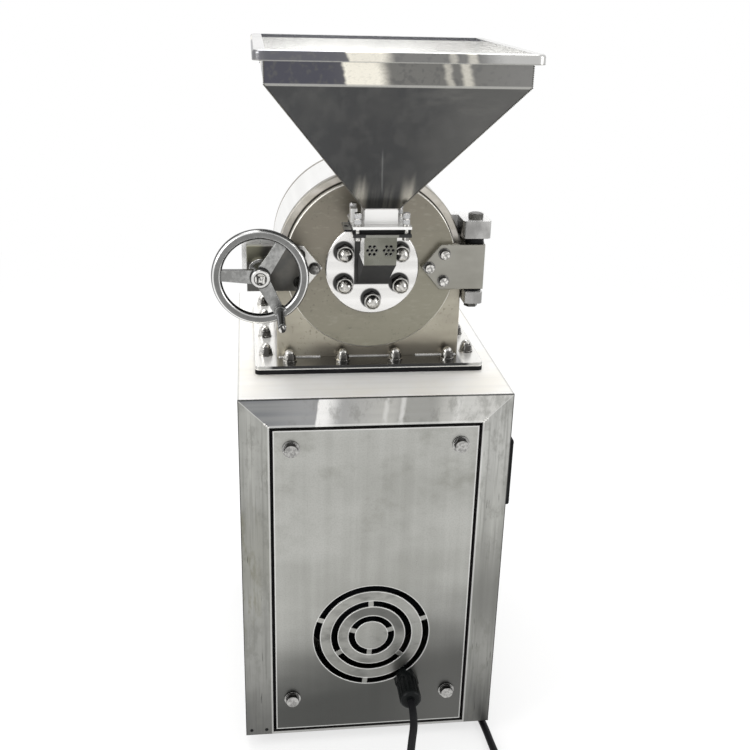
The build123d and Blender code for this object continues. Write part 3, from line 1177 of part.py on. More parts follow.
# Clamp block: the nut of the clamp screw on the housing's left side
with BuildPart() as clamp_block:
    with BuildSketch(front_plane(HOUSING_FRONT + CLAMP_BLOCK_DEPTH)):
        outline(
            CLAMP_X - CLAMP_BLOCK_TAIL,
            STRAP_ROOT - HOUSING_RADIUS,
            MILL_AXIS - CLAMP_BLOCK_BELOW,
            MILL_AXIS + CLAMP_BLOCK_ABOVE,
        )
    extrude(amount=CLAMP_BLOCK_DEPTH)
    with BuildSketch(front_plane(HOUSING_BACK)):
        arch(HOUSING_RADIUS, BED_TOP)
    extrude(amount=HOUSING_DEPTH, mode=Mode.SUBTRACT)
    with BuildSketch(front_plane(HOUSING_FRONT + CLAMP_HOLE, CLAMP_X, MILL_AXIS)):
        Circle(CLAMP_SCREW_RADIUS + CLAMP_ROOM)
    extrude(amount=CLAMP_HOLE, mode=Mode.SUBTRACT)
clamp_block.part.label = "clamp_block"
export_step(clamp_block.part, "parts/clamp_block.step")

# Thrust collar of the clamp screw
with BuildPart() as thrust_collar:
    with BuildSketch(front_plane(COLLAR_FRONT + COLLAR_THICKNESS, CLAMP_X, MILL_AXIS)):
        Circle(CLAMP_SCREW_RADIUS + COLLAR_LEDGE)
        Circle(CLAMP_SCREW_RADIUS + CLAMP_ROOM, mode=Mode.SUBTRACT)
    extrude(amount=COLLAR_THICKNESS)
thrust_collar.part.label = "thrust_collar"
export_step(thrust_collar.part, "parts/thrust_collar.step")

# Handwheel: round rim, flat spokes, hub, and a boss for the handle
with BuildPart() as handwheel:
    rim_radius = WHEEL_RADIUS - WHEEL_RIM_RADIUS
    with Locations(front_plane(WHEEL_PLANE, CLAMP_X, MILL_AXIS)):
        Torus(rim_radius, WHEEL_RIM_RADIUS)
    with BuildSketch(front_plane(HUB_BACK, CLAMP_X, MILL_AXIS)):
        Circle(HUB_RADIUS)
    extrude(amount=HUB_BACK - HUB_FRONT)
    chamfer(handwheel.faces().sort_by(Axis.Y)[0].edges(), length=HUB_EDGE)
    with BuildSketch(front_plane(WHEEL_PLANE + SPOKE_THICKNESS / 2, CLAMP_X, MILL_AXIS)):
        for angle in SPOKE_ANGLES:
            with Locations(Location((0, 0, 0), (0, 0, angle))):
                Polygon(
                    (0, -SPOKE_ROOT_WIDTH / 2),
                    (rim_radius, -SPOKE_TIP_WIDTH / 2),
                    (rim_radius, SPOKE_TIP_WIDTH / 2),
                    (0, SPOKE_ROOT_WIDTH / 2),
                    align=None,
                )
    extrude(amount=SPOKE_THICKNESS)
    with BuildSketch(front_plane(WHEEL_PLANE, HANDLE_X, HANDLE_Z)):
        Circle(HANDLE_BOSS_RADIUS)
    extrude(amount=WHEEL_PLANE - HANDLE_BOSS_FRONT)
    with BuildSketch(front_plane(HUB_BACK, CLAMP_X, MILL_AXIS)):
        Circle(CLAMP_SCREW_RADIUS + RUN)
    extrude(amount=HUB_BACK - HUB_FRONT, mode=Mode.SUBTRACT)
    with BuildSketch(front_plane(HANDLE_BOSS_FRONT, HANDLE_X, HANDLE_Z)):
        Circle(SPINDLE_RADIUS + RUN)
    extrude(amount=HANDLE_BOSS_FRONT - WHEEL_PLANE, mode=Mode.SUBTRACT)
handwheel.part.label = "handwheel"
export_step(handwheel.part, "parts/handwheel.step")

# Clamp screw with a square end, and the spindle of the handle
with BuildPart() as wheel_spindles:
    with BuildSketch(front_plane(SCREW_TIP, CLAMP_X, MILL_AXIS)):
        Circle(CLAMP_SCREW_RADIUS)
    extrude(amount=SCREW_TIP - HUB_FRONT)
    with BuildSketch(front_plane(HUB_FRONT, CLAMP_X, MILL_AXIS)):
        Rectangle(SCREW_END_FLATS, SCREW_END_FLATS)
    extrude(amount=SCREW_END)
    with BuildSketch(front_plane(WHEEL_PLANE - GAP, HANDLE_X, HANDLE_Z)):
        Circle(SPINDLE_RADIUS)
    extrude(amount=WHEEL_PLANE - GRIP_FRONT)
    with BuildSketch(front_plane(GRIP_FRONT - GAP, HANDLE_X, HANDLE_Z)):
        Circle(SPINDLE_HEAD_RADIUS)
    extrude(amount=SPINDLE_HEAD)
wheel_spindles.part.label = "wheel_spindles"
export_step(wheel_spindles.part, "parts/wheel_spindles.step")
with BuildPart() as handle_grip:
    with BuildSketch(front_plane(GRIP_BACK, HANDLE_X, HANDLE_Z)):
        Circle(GRIP_RADIUS)
    extrude(amount=GRIP_LENGTH)
    fillet(handle_grip.edges().filter_by(GeomType.CIRCLE), radius=GRIP_EDGE)
    with BuildSketch(front_plane(GRIP_BACK, HANDLE_X, HANDLE_Z)):
        Circle(SPINDLE_RADIUS + RUN)
    extrude(amount=GRIP_LENGTH, mode=Mode.SUBTRACT)
handle_grip.part.label = "handle_grip"
export_step(handle_grip.part, "parts/handle_grip.step")

# Feed chute: a bent square duct with a flange, gate guides and two clusters of holes in its front
with BuildPart() as feed_chute:
    with BuildSketch(right_plane(-CHUTE_WIDTH / 2)):
        with BuildLine():
            Polyline(
                (CHUTE_FRONT, CHUTE_TOP),
                (CHUTE_FRONT, MILL_AXIS + CHUTE_KNEE_ABOVE_AXIS),
                (FLANGE_FRONT, CHUTE_OUTLET),
                (FLANGE_FRONT, CHUTE_OUTLET + CHUTE_OUTLET_HEIGHT),
                (CHUTE_BACK, MILL_AXIS + CHUTE_BACK_KNEE_ABOVE_AXIS),
                (CHUTE_BACK, CHUTE_TOP),
                close=True,
            )
        make_face()
    extrude(amount=CHUTE_WIDTH)
    chute_inlet = feed_chute.faces().sort_by(Axis.Z)[-1]
    chute_outlet = feed_chute.faces().sort_by(Axis.Y)[-1]
    offset(amount=-CHUTE_SHEET, openings=[chute_inlet, chute_outlet])
    with BuildSketch(Plane.XY.offset(CHUTE_TOP)):
        with Locations((0, FEED_Y)):
            Rectangle(FEED_FLANGE_WIDTH, FEED_FLANGE_WIDTH)
            Rectangle(CHUTE_WIDTH, CHUTE_DEPTH, mode=Mode.SUBTRACT)
            with GridLocations(FEED_STUD_SPREAD, FEED_STUD_SPREAD, 2, 2):
                Circle(FEED_STUD_RADIUS + SLIP, mode=Mode.SUBTRACT)
    extrude(amount=-FEED_FLANGE_SHEET)
    guide_offset = (CHUTE_DEPTH + GATE_GUIDE_WIDTH) / 2 + GATE_ROOM
    with BuildSketch(Plane.XY.offset(CHUTE_TOP)):
        with Locations((0, FEED_Y - guide_offset), (0, FEED_Y + guide_offset)):
            Rectangle(FEED_FLANGE_WIDTH, GATE_GUIDE_WIDTH)
    extrude(amount=GATE_SLOT)
    row_height = VENT_HOLE_PITCH * sqrt(3) / 2
    with BuildSketch(front_plane(CHUTE_FRONT + CHUTE_SHEET, 0, MILL_AXIS + VENT_CLUSTER_ABOVE_AXIS)):
        for cluster_x in (-VENT_CLUSTER_SPREAD / 2, VENT_CLUSTER_SPREAD / 2):
            with Locations((cluster_x, 0)):
                with GridLocations(VENT_HOLE_PITCH, 2 * row_height, 2, 2):
                    Circle(VENT_HOLE_RADIUS)
                with GridLocations(VENT_HOLE_PITCH, 0, 3, 1):
                    Circle(VENT_HOLE_RADIUS)
    extrude(amount=CHUTE_SHEET, mode=Mode.SUBTRACT)
feed_chute.part.label = "feed_chute"
export_step(feed_chute.part, "parts/feed_chute.step")

# Slide gate between the chute and the hopper
with BuildPart() as slide_gate:
    with BuildSketch(Plane.XY.offset(CHUTE_TOP + GAP)):
        outline(-FEED_HALF - GATE_TAB, GATE_END, CHUTE_FRONT, CHUTE_BACK)
        with Locations((-FEED_HALF - GATE_TAB / 2, FEED_Y)):
            Circle(GATE_FINGER_RADIUS, mode=Mode.SUBTRACT)
    extrude(amount=GATE_PLATE)
slide_gate.part.label = "slide_gate"
export_step(slide_gate.part, "parts/slide_gate.step")

# Hopper: flange, neck, pyramid, upright band and rolled lip, with a lug on the flange
with BuildPart() as hopper:
    with BuildSketch(Plane.XY.offset(GATE_ROOF)):
        with Locations((0, FEED_Y)):
            Rectangle(FEED_FLANGE_WIDTH, FEED_FLANGE_WIDTH)
            with GridLocations(FEED_STUD_SPREAD, FEED_STUD_SPREAD, 2, 2):
                Circle(FEED_STUD_RADIUS + SLIP, mode=Mode.SUBTRACT)
    extrude(amount=FEED_FLANGE_SHEET)
    with BuildSketch(Plane.XY.offset(HOPPER_FLANGE_TOP)):
        with Locations((0, FEED_Y)):
            Rectangle(NECK_WIDTH, NECK_WIDTH)
    extrude(amount=NECK_HEIGHT)
    with BuildSketch(Plane.XY.offset(NECK_TOP)):
        with Locations((0, FEED_Y)):
            Rectangle(NECK_WIDTH, NECK_WIDTH)
    with BuildSketch(Plane.XY.offset(BAND_BOTTOM)):
        with Locations((0, FEED_Y)):
            Rectangle(HOPPER_WIDTH, HOPPER_WIDTH)
    loft()
    with BuildSketch(Plane.XY.offset(BAND_BOTTOM)):
        with Locations((0, FEED_Y)):
            Rectangle(HOPPER_WIDTH, HOPPER_WIDTH)
    extrude(amount=HOPPER_BAND)
    with BuildSketch(Plane.XY.offset(LIP_BOTTOM)):
        with Locations((0, FEED_Y)):
            RectangleRounded(HOPPER_WIDTH + 2 * LIP_WIDTH, HOPPER_WIDTH + 2 * LIP_WIDTH, LIP_WIDTH)
    extrude(amount=LIP_HEIGHT)
    fillet(hopper.edges().group_by(Axis.Z)[-1], radius=LIP_EDGE)
    inner_neck = NECK_WIDTH - 2 * HOPPER_SHEET
    inner_width = HOPPER_WIDTH - 2 * HOPPER_SHEET
    with BuildSketch(Plane.XY.offset(GATE_ROOF)):
        with Locations((0, FEED_Y)):
            Rectangle(inner_neck, inner_neck)
    extrude(amount=FEED_FLANGE_SHEET + NECK_HEIGHT, mode=Mode.SUBTRACT)
    with BuildSketch(Plane.XY.offset(NECK_TOP)):
        with Locations((0, FEED_Y)):
            Rectangle(inner_neck, inner_neck)
    with BuildSketch(Plane.XY.offset(BAND_BOTTOM)):
        with Locations((0, FEED_Y)):
            Rectangle(inner_width, inner_width)
    loft(mode=Mode.SUBTRACT)
    with BuildSketch(Plane.XY.offset(BAND_BOTTOM)):
        with Locations((0, FEED_Y)):
            Rectangle(inner_width, inner_width)
    extrude(amount=HOPPER_BAND + LIP_HEIGHT, mode=Mode.SUBTRACT)
    with BuildSketch(Plane.XY.offset(HOPPER_FLANGE_TOP)):
        with Locations((LUG_X, FEED_Y)):
            Rectangle(LUG_SIZE / 2, LUG_SIZE)
    extrude(amount=LUG_SIZE)
hopper.part.label = "hopper"
export_step(hopper.part, "parts/hopper.step")

# Leaf bolt with its head up, and the stud that holds the hopper on the chute
with BuildPart() as leaf_bolt:
    with BuildSketch(Plane.XY.offset(LEAF_BOLT_WASHER)):
        hexagon(LEAF_BOLT_FLATS)
    extrude(amount=LEAF_BOLT_HEAD)
    with BuildSketch(Plane.XY.offset(LEAF_BOLT_WASHER)):
        corner_circle(LEAF_BOLT_FLATS)
    extrude(amount=LEAF_BOLT_HEAD, taper=HEX_TAPER, mode=Mode.INTERSECT)
    with BuildSketch(Plane.XY):
        Circle(LEAF_BOLT_WASHER_RADIUS)
    extrude(amount=LEAF_BOLT_WASHER)
    with BuildSketch(Plane.XY):
        Circle(LEAF_BOLT_SHANK)
    extrude(amount=-LEAF_BOLT_LENGTH)
with BuildPart() as feed_stud:
    with BuildSketch(Plane.XY):
        Circle(THUMB_NUT_RADIUS)
    extrude(amount=THUMB_NUT)
    stud_grip = 2 * FEED_FLANGE_SHEET + GATE_SLOT
    with BuildSketch(Plane.XY):
        Circle(FEED_STUD_RADIUS)
    extrude(amount=-stud_grip)
    with BuildSketch(Plane.XY.offset(-stud_grip)):
        hexagon(FEED_STUD_FLATS)
    extrude(amount=-FEED_STUD_NUT)
with BuildPart() as door_bolts:
    with Locations(*[front_plane(LEAF_FRONT, x, z) for x, z in LEAF_BOLT_PLACES]):
        add(leaf_bolt.part)
    with Locations((0, FEED_Y, HOPPER_FLANGE_TOP)):
        with GridLocations(FEED_STUD_SPREAD, FEED_STUD_SPREAD, 2, 2):
            add(feed_stud.part)
door_bolts.part.label = "door_bolts"
export_step(door_bolts.part, "parts/door_bolts.step")

# Rotor: a pinned disc on a hub, its nut, and the stepped mill shaft
with BuildPart() as rotor_disc:
    with BuildSketch(front_plane(ROTOR_BACK, 0, MILL_AXIS)):
        Circle(ROTOR_RADIUS)
    extrude(amount=ROTOR_THICKNESS)
    with BuildSketch(front_plane(ROTOR_HUB_BACK, 0, MILL_AXIS)):
        Circle(ROTOR_HUB_RADIUS)
    extrude(amount=ROTOR_HUB_BACK - ROTOR_BACK)
    with BuildSketch(front_plane(ROTOR_FRONT, 0, MILL_AXIS)):
        for ring_inset, pin_count in ROTOR_PIN_RINGS:
            with PolarLocations(radius=ROTOR_RADIUS - ring_inset, count=pin_count):
                Circle(ROTOR_PIN_RADIUS)
    extrude(amount=ROTOR_PIN_LENGTH)
    with BuildSketch(front_plane(ROTOR_HUB_BACK, 0, MILL_AXIS)):
        Circle(SHAFT_NOSE_RADIUS + RUN)
    extrude(amount=ROTOR_HUB_BACK - ROTOR_FRONT, mode=Mode.SUBTRACT)
rotor_disc.part.label = "rotor_disc"
export_step(rotor_disc.part, "parts/rotor_disc.step")
with BuildPart() as rotor_nut:
    with BuildSketch(front_plane(ROTOR_FRONT, 0, MILL_AXIS)):
        hexagon(ROTOR_NUT_FLATS)
        Circle(SHAFT_NOSE_RADIUS + RUN, mode=Mode.SUBTRACT)
    extrude(amount=ROTOR_NUT)
rotor_nut.part.label = "rotor_nut"
export_step(rotor_nut.part, "parts/rotor_nut.step")
with BuildPart() as mill_shaft:
    with BuildSketch(front_plane(ROTOR_HUB_BACK, 0, MILL_AXIS)):
        Circle(SHAFT_NOSE_RADIUS)
    extrude(amount=ROTOR_HUB_BACK - ROTOR_FRONT + ROTOR_NUT + SHAFT_NOSE)
    with BuildSketch(front_plane(PULLEY_FRONT, 0, MILL_AXIS)):
        Circle(SHAFT_RADIUS)
    extrude(amount=PULLEY_FRONT - ROTOR_HUB_BACK)
    with BuildSketch(front_plane(PULLEY_BACK, 0, MILL_AXIS)):
        Circle(SHAFT_END_RADIUS)
    extrude(amount=PULLEY_WIDTH)
mill_shaft.part.label = "mill_shaft"
export_step(mill_shaft.part, "parts/mill_shaft.step")

# Bearing housing: nose in the rear plate, bolted flange, barrel and pedestal on the bed
with BuildPart() as bearing_housing:
    with BuildSketch(front_plane(PEDESTAL_BACK)):
        outline(-PEDESTAL_WIDTH / 2, PEDESTAL_WIDTH / 2, BED_TOP, MILL_AXIS)
    extrude(amount=PEDESTAL_BACK - PEDESTAL_FRONT)
    with BuildSketch(front_plane(BARREL_BACK, 0, MILL_AXIS)):
        Circle(BARREL_RADIUS)
    extrude(amount=BARREL_LENGTH)
    with BuildSketch(front_plane(HOUSING_BACK + BARREL_FLANGE, 0, MILL_AXIS)):
        Circle(BARREL_FLANGE_RADIUS)
        with PolarLocations(radius=FLANGE_BOLT_CIRCLE, count=COVER_BOLT_COUNT):
            Circle(SMALL_BOLT_SHANK + SLIP, mode=Mode.SUBTRACT)
    extrude(amount=BARREL_FLANGE)
    with BuildSketch(front_plane(HOUSING_BACK, 0, MILL_AXIS)):
        Circle(NOSE_RADIUS)
    extrude(amount=HOUSING_PLATE)
    with BuildSketch(front_plane(BARREL_BACK, 0, MILL_AXIS)):
        Circle(BEARING_RADIUS + RUN)
    extrude(amount=BARREL_BACK - BEARING_FRONT_Y, mode=Mode.SUBTRACT)
    with BuildSketch(front_plane(BEARING_FRONT_Y, 0, MILL_AXIS)):
        Circle(SHAFT_RADIUS + NOSE_BORE_ROOM)
    extrude(amount=BEARING_FRONT_Y - REAR_PLATE_FRONT, mode=Mode.SUBTRACT)
    with BuildSketch(front_plane(BARREL_BACK, 0, MILL_AXIS)):
        with PolarLocations(radius=COVER_BOLT_CIRCLE, count=COVER_BOLT_COUNT):
            Circle(SMALL_BOLT_SHANK + SLIP)
    extrude(amount=SMALL_BOLT_LENGTH, mode=Mode.SUBTRACT)
bearing_housing.part.label = "bearing_housing"
export_step(bearing_housing.part, "parts/bearing_housing.step")
with BuildPart() as bearings:
    for bearing_y in (BEARING_FRONT_Y, BEARING_BACK_Y):
        with BuildSketch(back_plane(bearing_y, 0, MILL_AXIS)):
            Circle(BEARING_RADIUS)
            Circle(SHAFT_RADIUS + RUN, mode=Mode.SUBTRACT)
        extrude(amount=BEARING_WIDTH)
        with BuildSketch(
            back_plane(bearing_y, 0, MILL_AXIS),
            front_plane(bearing_y + BEARING_WIDTH, 0, MILL_AXIS),
        ):
            Circle(BEARING_RADIUS - BEARING_RACE)
            Circle(SHAFT_RADIUS + BEARING_RACE, mode=Mode.SUBTRACT)
        extrude(amount=BEARING_GROOVE, mode=Mode.SUBTRACT)
bearings.part.label = "bearings"
export_step(bearings.part, "parts/bearings.step")
with BuildPart() as bearing_cover:
    with BuildSketch(back_plane(BARREL_BACK, 0, MILL_AXIS)):
        Circle(BARREL_RADIUS)
        Circle(SHAFT_RADIUS + COVER_BORE_ROOM, mode=Mode.SUBTRACT)
        with PolarLocations(radius=COVER_BOLT_CIRCLE, count=COVER_BOLT_COUNT):
            Circle(SMALL_BOLT_SHANK + SLIP, mode=Mode.SUBTRACT)
    extrude(amount=COVER_THICKNESS)
bearing_cover.part.label = "bearing_cover"
export_step(bearing_cover.part, "parts/bearing_cover.step")

# Pulleys with two belt grooves each, and the belts
with BuildPart() as driven_pulley:
    with BuildSketch(front_plane(PULLEY_BACK, 0, MILL_AXIS)):
        Circle(DRIVEN_RADIUS)
        Circle(SHAFT_END_RADIUS + RUN, mode=Mode.SUBTRACT)
    extrude(amount=PULLEY_WIDTH)
    for groove_y in GROOVE_MIDDLES:
        with BuildSketch(front_plane(groove_y + GROOVE_WIDTH / 2, 0, MILL_AXIS)):
            Circle(DRIVEN_RADIUS)
            Circle(DRIVEN_RADIUS - GROOVE_DEPTH, mode=Mode.SUBTRACT)
        extrude(amount=GROOVE_WIDTH, mode=Mode.SUBTRACT)
driven_pulley.part.label = "driven_pulley"
export_step(driven_pulley.part, "parts/driven_pulley.step")
with BuildPart() as drive_pulley:
    with BuildSketch(front_plane(PULLEY_BACK, 0, MOTOR_AXIS)):
        Circle(DRIVE_RADIUS)
        Circle(MOTOR_SHAFT_RADIUS + RUN, mode=Mode.SUBTRACT)
    extrude(amount=PULLEY_WIDTH)
    for groove_y in GROOVE_MIDDLES:
        with BuildSketch(front_plane(groove_y + GROOVE_WIDTH / 2, 0, MOTOR_AXIS)):
            Circle(DRIVE_RADIUS)
            Circle(DRIVE_RADIUS - GROOVE_DEPTH, mode=Mode.SUBTRACT)
        extrude(amount=GROOVE_WIDTH, mode=Mode.SUBTRACT)
drive_pulley.part.label = "drive_pulley"
export_step(drive_pulley.part, "parts/drive_pulley.step")
with BuildPart() as drive_belts:
    belt_width = GROOVE_WIDTH - 2 * BELT_ROOM
    driven_inner = DRIVEN_RADIUS - GROOVE_DEPTH + BELT_ROOM
    drive_inner = DRIVE_RADIUS - GROOVE_DEPTH + BELT_ROOM
    for groove_y in GROOVE_MIDDLES:
        with BuildSketch(front_plane(groove_y + belt_width / 2)):
            with Locations((0, MILL_AXIS)):
                Circle(driven_inner + BELT_THICKNESS)
            with Locations((0, MOTOR_AXIS)):
                Circle(drive_inner + BELT_THICKNESS)
            make_hull()
        extrude(amount=belt_width)
        with BuildSketch(front_plane(groove_y + belt_width / 2)):
            with Locations((0, MILL_AXIS)):
                Circle(driven_inner)
            with Locations((0, MOTOR_AXIS)):
                Circle(drive_inner)
            make_hull()
        extrude(amount=belt_width, mode=Mode.SUBTRACT)
drive_belts.part.label = "drive_belts"
export_step(drive_belts.part, "parts/drive_belts.step")

# Belt guard: an arched box on the cabinet's top with bolted tabs and a slot for the shaft
with BuildPart() as belt_guard:
    with BuildSketch(front_plane(GUARD_BACK)):
        arch(GUARD_RADIUS, TOP)
    extrude(amount=GUARD_DEPTH)
    with BuildSketch(front_plane(GUARD_BACK - GUARD_SHEET)):
        arch(GUARD_RADIUS - GUARD_SHEET, TOP)
    extrude(amount=GUARD_DEPTH - 2 * GUARD_SHEET, mode=Mode.SUBTRACT)
    with BuildSketch(front_plane(GUARD_FRONT + GUARD_SHEET)):
        arch(GUARD_SLOT_RADIUS, TOP)
    extrude(amount=GUARD_SHEET, mode=Mode.SUBTRACT)
    with BuildSketch(Plane.XY.offset(TOP)):
        tab_reach = GUARD_RADIUS + GUARD_TAB
        outline(-tab_reach, -GUARD_RADIUS, GUARD_FRONT, GUARD_BACK)
        outline(GUARD_RADIUS, tab_reach, GUARD_FRONT, GUARD_BACK)
        with Locations(*GUARD_BOLT_PLACES):
            Circle(SMALL_BOLT_SHANK + SLIP, mode=Mode.SUBTRACT)
    extrude(amount=GUARD_SHEET)
belt_guard.part.label = "belt_guard"
export_step(belt_guard.part, "parts/belt_guard.step")

# Small hex bolt, and all of them: spout, bearing housing, bearing cover and belt guard
with BuildPart() as small_bolt:
    with BuildSketch(Plane.XY):
        hexagon(SMALL_BOLT_FLATS)
    extrude(amount=SMALL_BOLT_HEAD)
    with BuildSketch(Plane.XY):
        corner_circle(SMALL_BOLT_FLATS)
    extrude(amount=SMALL_BOLT_HEAD, taper=HEX_TAPER, mode=Mode.INTERSECT)
    with BuildSketch(Plane.XY):
        Circle(SMALL_BOLT_SHANK)
    extrude(amount=-SMALL_BOLT_LENGTH)
with BuildPart() as cover_bolts:
    with Locations(right_plane(HALF + SHEET, OUTLET_MIDDLE, SPOUT_Z)):
        with GridLocations(SPOUT_BOLT_SPREAD, SPOUT_BOLT_SPREAD, 2, 2):
            add(small_bolt.part)
    with Locations(back_plane(HOUSING_BACK + BARREL_FLANGE, 0, MILL_AXIS)):
        with PolarLocations(radius=FLANGE_BOLT_CIRCLE, count=COVER_BOLT_COUNT):
            add(small_bolt.part)
    with Locations(back_plane(BARREL_BACK + COVER_THICKNESS, 0, MILL_AXIS)):
        with PolarLocations(radius=COVER_BOLT_CIRCLE, count=COVER_BOLT_COUNT):
            add(small_bolt.part)
    with Locations(*[(x, y, TOP + GUARD_SHEET) for x, y in GUARD_BOLT_PLACES]):
        add(small_bolt.part)
cover_bolts.part.label = "cover_bolts"
export_step(cover_bolts.part, "parts/cover_bolts.step")

# Motor: finned frame with end shields, feet and terminal box
with BuildPart() as motor_body:
    with BuildSketch(front_plane(MOTOR_BACK, 0, MOTOR_AXIS)):
        Circle(MOTOR_RADIUS)
        with PolarLocations(radius=MOTOR_RADIUS, count=MOTOR_FINS):
            Rectangle(2 * MOTOR_FIN, MOTOR_FIN_WIDTH)
    extrude(amount=MOTOR_BACK - MOTOR_FRONT)
    for shield_y in (MOTOR_BACK, MOTOR_FRONT + MOTOR_SHIELD):
        with BuildSketch(front_plane(shield_y, 0, MOTOR_AXIS)):
            Circle(MOTOR_SHIELD_RADIUS)
        extrude(amount=MOTOR_SHIELD)
    for foot_y in MOTOR_FEET_Y:
        with BuildSketch(front_plane(foot_y + MOTOR_FOOT_WIDTH / 2)):
            foot_reach = MOTOR_FEET_SPREAD / 2 + MOTOR_FOOT_WIDTH / 2
            outline(-foot_reach, foot_reach, MOTOR_FOOT_BOTTOM, MOTOR_FOOT_BOTTOM + MOTOR_FOOT)
            web_half = MOTOR_FEET_SPREAD / 2 - MOTOR_FOOT_WIDTH / 2
            outline(-web_half, web_half, MOTOR_FOOT_BOTTOM, MOTOR_AXIS)
        extrude(amount=MOTOR_FOOT_WIDTH)
    with BuildSketch(Plane.XY.offset(MOTOR_AXIS)):
        with Locations((0, sum(MOTOR_FEET_Y) / len(MOTOR_FEET_Y))):
            RectangleRounded(TERMINAL_BOX_WIDTH, TERMINAL_BOX_LENGTH, STARTER_FILLET)
    extrude(amount=TERMINAL_BOX_ABOVE_AXIS)
    with BuildSketch(front_plane(MOTOR_BACK - MOTOR_SHIELD, 0, MOTOR_AXIS)):
        Circle(MOTOR_BORE_RADIUS)
    extrude(amount=MOTOR_BACK - MOTOR_FRONT - 2 * MOTOR_SHIELD, mode=Mode.SUBTRACT)
    with BuildSketch(front_plane(MOTOR_BACK, 0, MOTOR_AXIS)):
        Circle(MOTOR_SHAFT_RADIUS + RUN)
    extrude(amount=MOTOR_BACK - MOTOR_FRONT, mode=Mode.SUBTRACT)
    with BuildSketch(Plane.XY.offset(MOTOR_FOOT_BOTTOM)):
        with Locations(*MOTOR_BOLT_PLACES):
            Circle(BOLT_SHANK + SLIP)
    extrude(amount=MOTOR_FOOT, mode=Mode.SUBTRACT)
motor_body.part.label = "motor_body"
export_step(motor_body.part, "parts/motor_body.step")

# Motor shaft with its core and shoulder, cooling fan, and fan cowl
with BuildPart() as motor_shaft:
    with BuildSketch(front_plane(PULLEY_BACK, 0, MOTOR_AXIS)):
        Circle(MOTOR_SHAFT_RADIUS)
    extrude(amount=PULLEY_BACK - FAN_FRONT + MOTOR_COLLAR)
    with BuildSketch(front_plane(PULLEY_FRONT, 0, MOTOR_AXIS)):
        Circle(MOTOR_COLLAR_RADIUS)
    extrude(amount=MOTOR_COLLAR)
    with BuildSketch(front_plane(MOTOR_BACK - MOTOR_SHIELD - MOTOR_CORE_MARGIN, 0, MOTOR_AXIS)):
        Circle(MOTOR_CORE_RADIUS)
    extrude(amount=MOTOR_BACK - MOTOR_FRONT - 2 * MOTOR_SHIELD - 2 * MOTOR_CORE_MARGIN)
motor_shaft.part.label = "motor_shaft"
export_step(motor_shaft.part, "parts/motor_shaft.step")
with BuildPart() as motor_fan:
    with BuildSketch(front_plane(FAN_BACK, 0, MOTOR_AXIS)):
        Circle(FAN_HUB_RADIUS)
        blade_middle = (FAN_RADIUS + MOTOR_SHAFT_RADIUS) / 2
        with PolarLocations(radius=blade_middle, count=FAN_BLADES):
            Rectangle(FAN_RADIUS - MOTOR_SHAFT_RADIUS, FAN_BLADE)
        Circle(MOTOR_SHAFT_RADIUS + RUN, mode=Mode.SUBTRACT)
    extrude(amount=FAN_BACK - FAN_FRONT)
motor_fan.part.label = "motor_fan"
export_step(motor_fan.part, "parts/motor_fan.step")
with BuildPart() as fan_cowl:
    cowl_bore = MOTOR_SHIELD_RADIUS + SLIP
    with BuildSketch(front_plane(MOTOR_FRONT + COWL_LAP, 0, MOTOR_AXIS)):
        Circle(cowl_bore + COWL_SHEET)
    extrude(amount=MOTOR_FRONT + COWL_LAP - COWL_FRONT)
    with BuildSketch(front_plane(MOTOR_FRONT + COWL_LAP, 0, MOTOR_AXIS)):
        Circle(cowl_bore)
    extrude(amount=MOTOR_FRONT + COWL_LAP - COWL_FRONT - COWL_SHEET, mode=Mode.SUBTRACT)
    with BuildSketch(front_plane(COWL_FRONT + COWL_SHEET, 0, MOTOR_AXIS)):
        with PolarLocations(radius=COWL_SLOT_CIRCLE, count=COWL_SLOTS):
            SlotOverall(COWL_SLOT_LENGTH, COWL_SLOT_WIDTH)
    extrude(amount=COWL_SHEET, mode=Mode.SUBTRACT)
fan_cowl.part.label = "fan_cowl"
export_step(fan_cowl.part, "parts/fan_cowl.step")

# Motor rails: two square tubes on the tray
with BuildPart() as motor_rails:
    rail_height = MOTOR_FOOT_BOTTOM - TRAY_TOP
    rail_middle = (MOTOR_FOOT_BOTTOM + TRAY_TOP) / 2
    for rail_y in MOTOR_FEET_Y:
        with BuildSketch(right_plane(-RAIL_TUBE_LENGTH / 2, rail_y, rail_middle)):
            Rectangle(RAIL_TUBE_WIDTH, rail_height)
            Rectangle(
                RAIL_TUBE_WIDTH - 2 * RAIL_TUBE_WALL,
                rail_height - 2 * RAIL_TUBE_WALL,
                mode=Mode.SUBTRACT,
            )
        extrude(amount=RAIL_TUBE_LENGTH)
    with BuildSketch(Plane.XY.offset(MOTOR_FOOT_BOTTOM)):
        with Locations(*MOTOR_BOLT_PLACES):
            Circle(BOLT_SHANK + SLIP)
    extrude(amount=-RAIL_TUBE_WALL, mode=Mode.SUBTRACT)
motor_rails.part.label = "motor_rails"
export_step(motor_rails.part, "parts/motor_rails.step")


def bend_radii(points):
    """The widest bend that leaves a short straight between each bend and its neighbours."""
    corners = [Vector(*point) for point in points]
    radii = []
    for before, corner, after in zip(corners, corners[1:], corners[2:]):
        turn = radians((corner - before).get_angle(after - corner))
        shorter_run = min((corner - before).length, (after - corner).length)
        radii.append(0.45 * shorter_run / tan(turn / 2))
    return radii


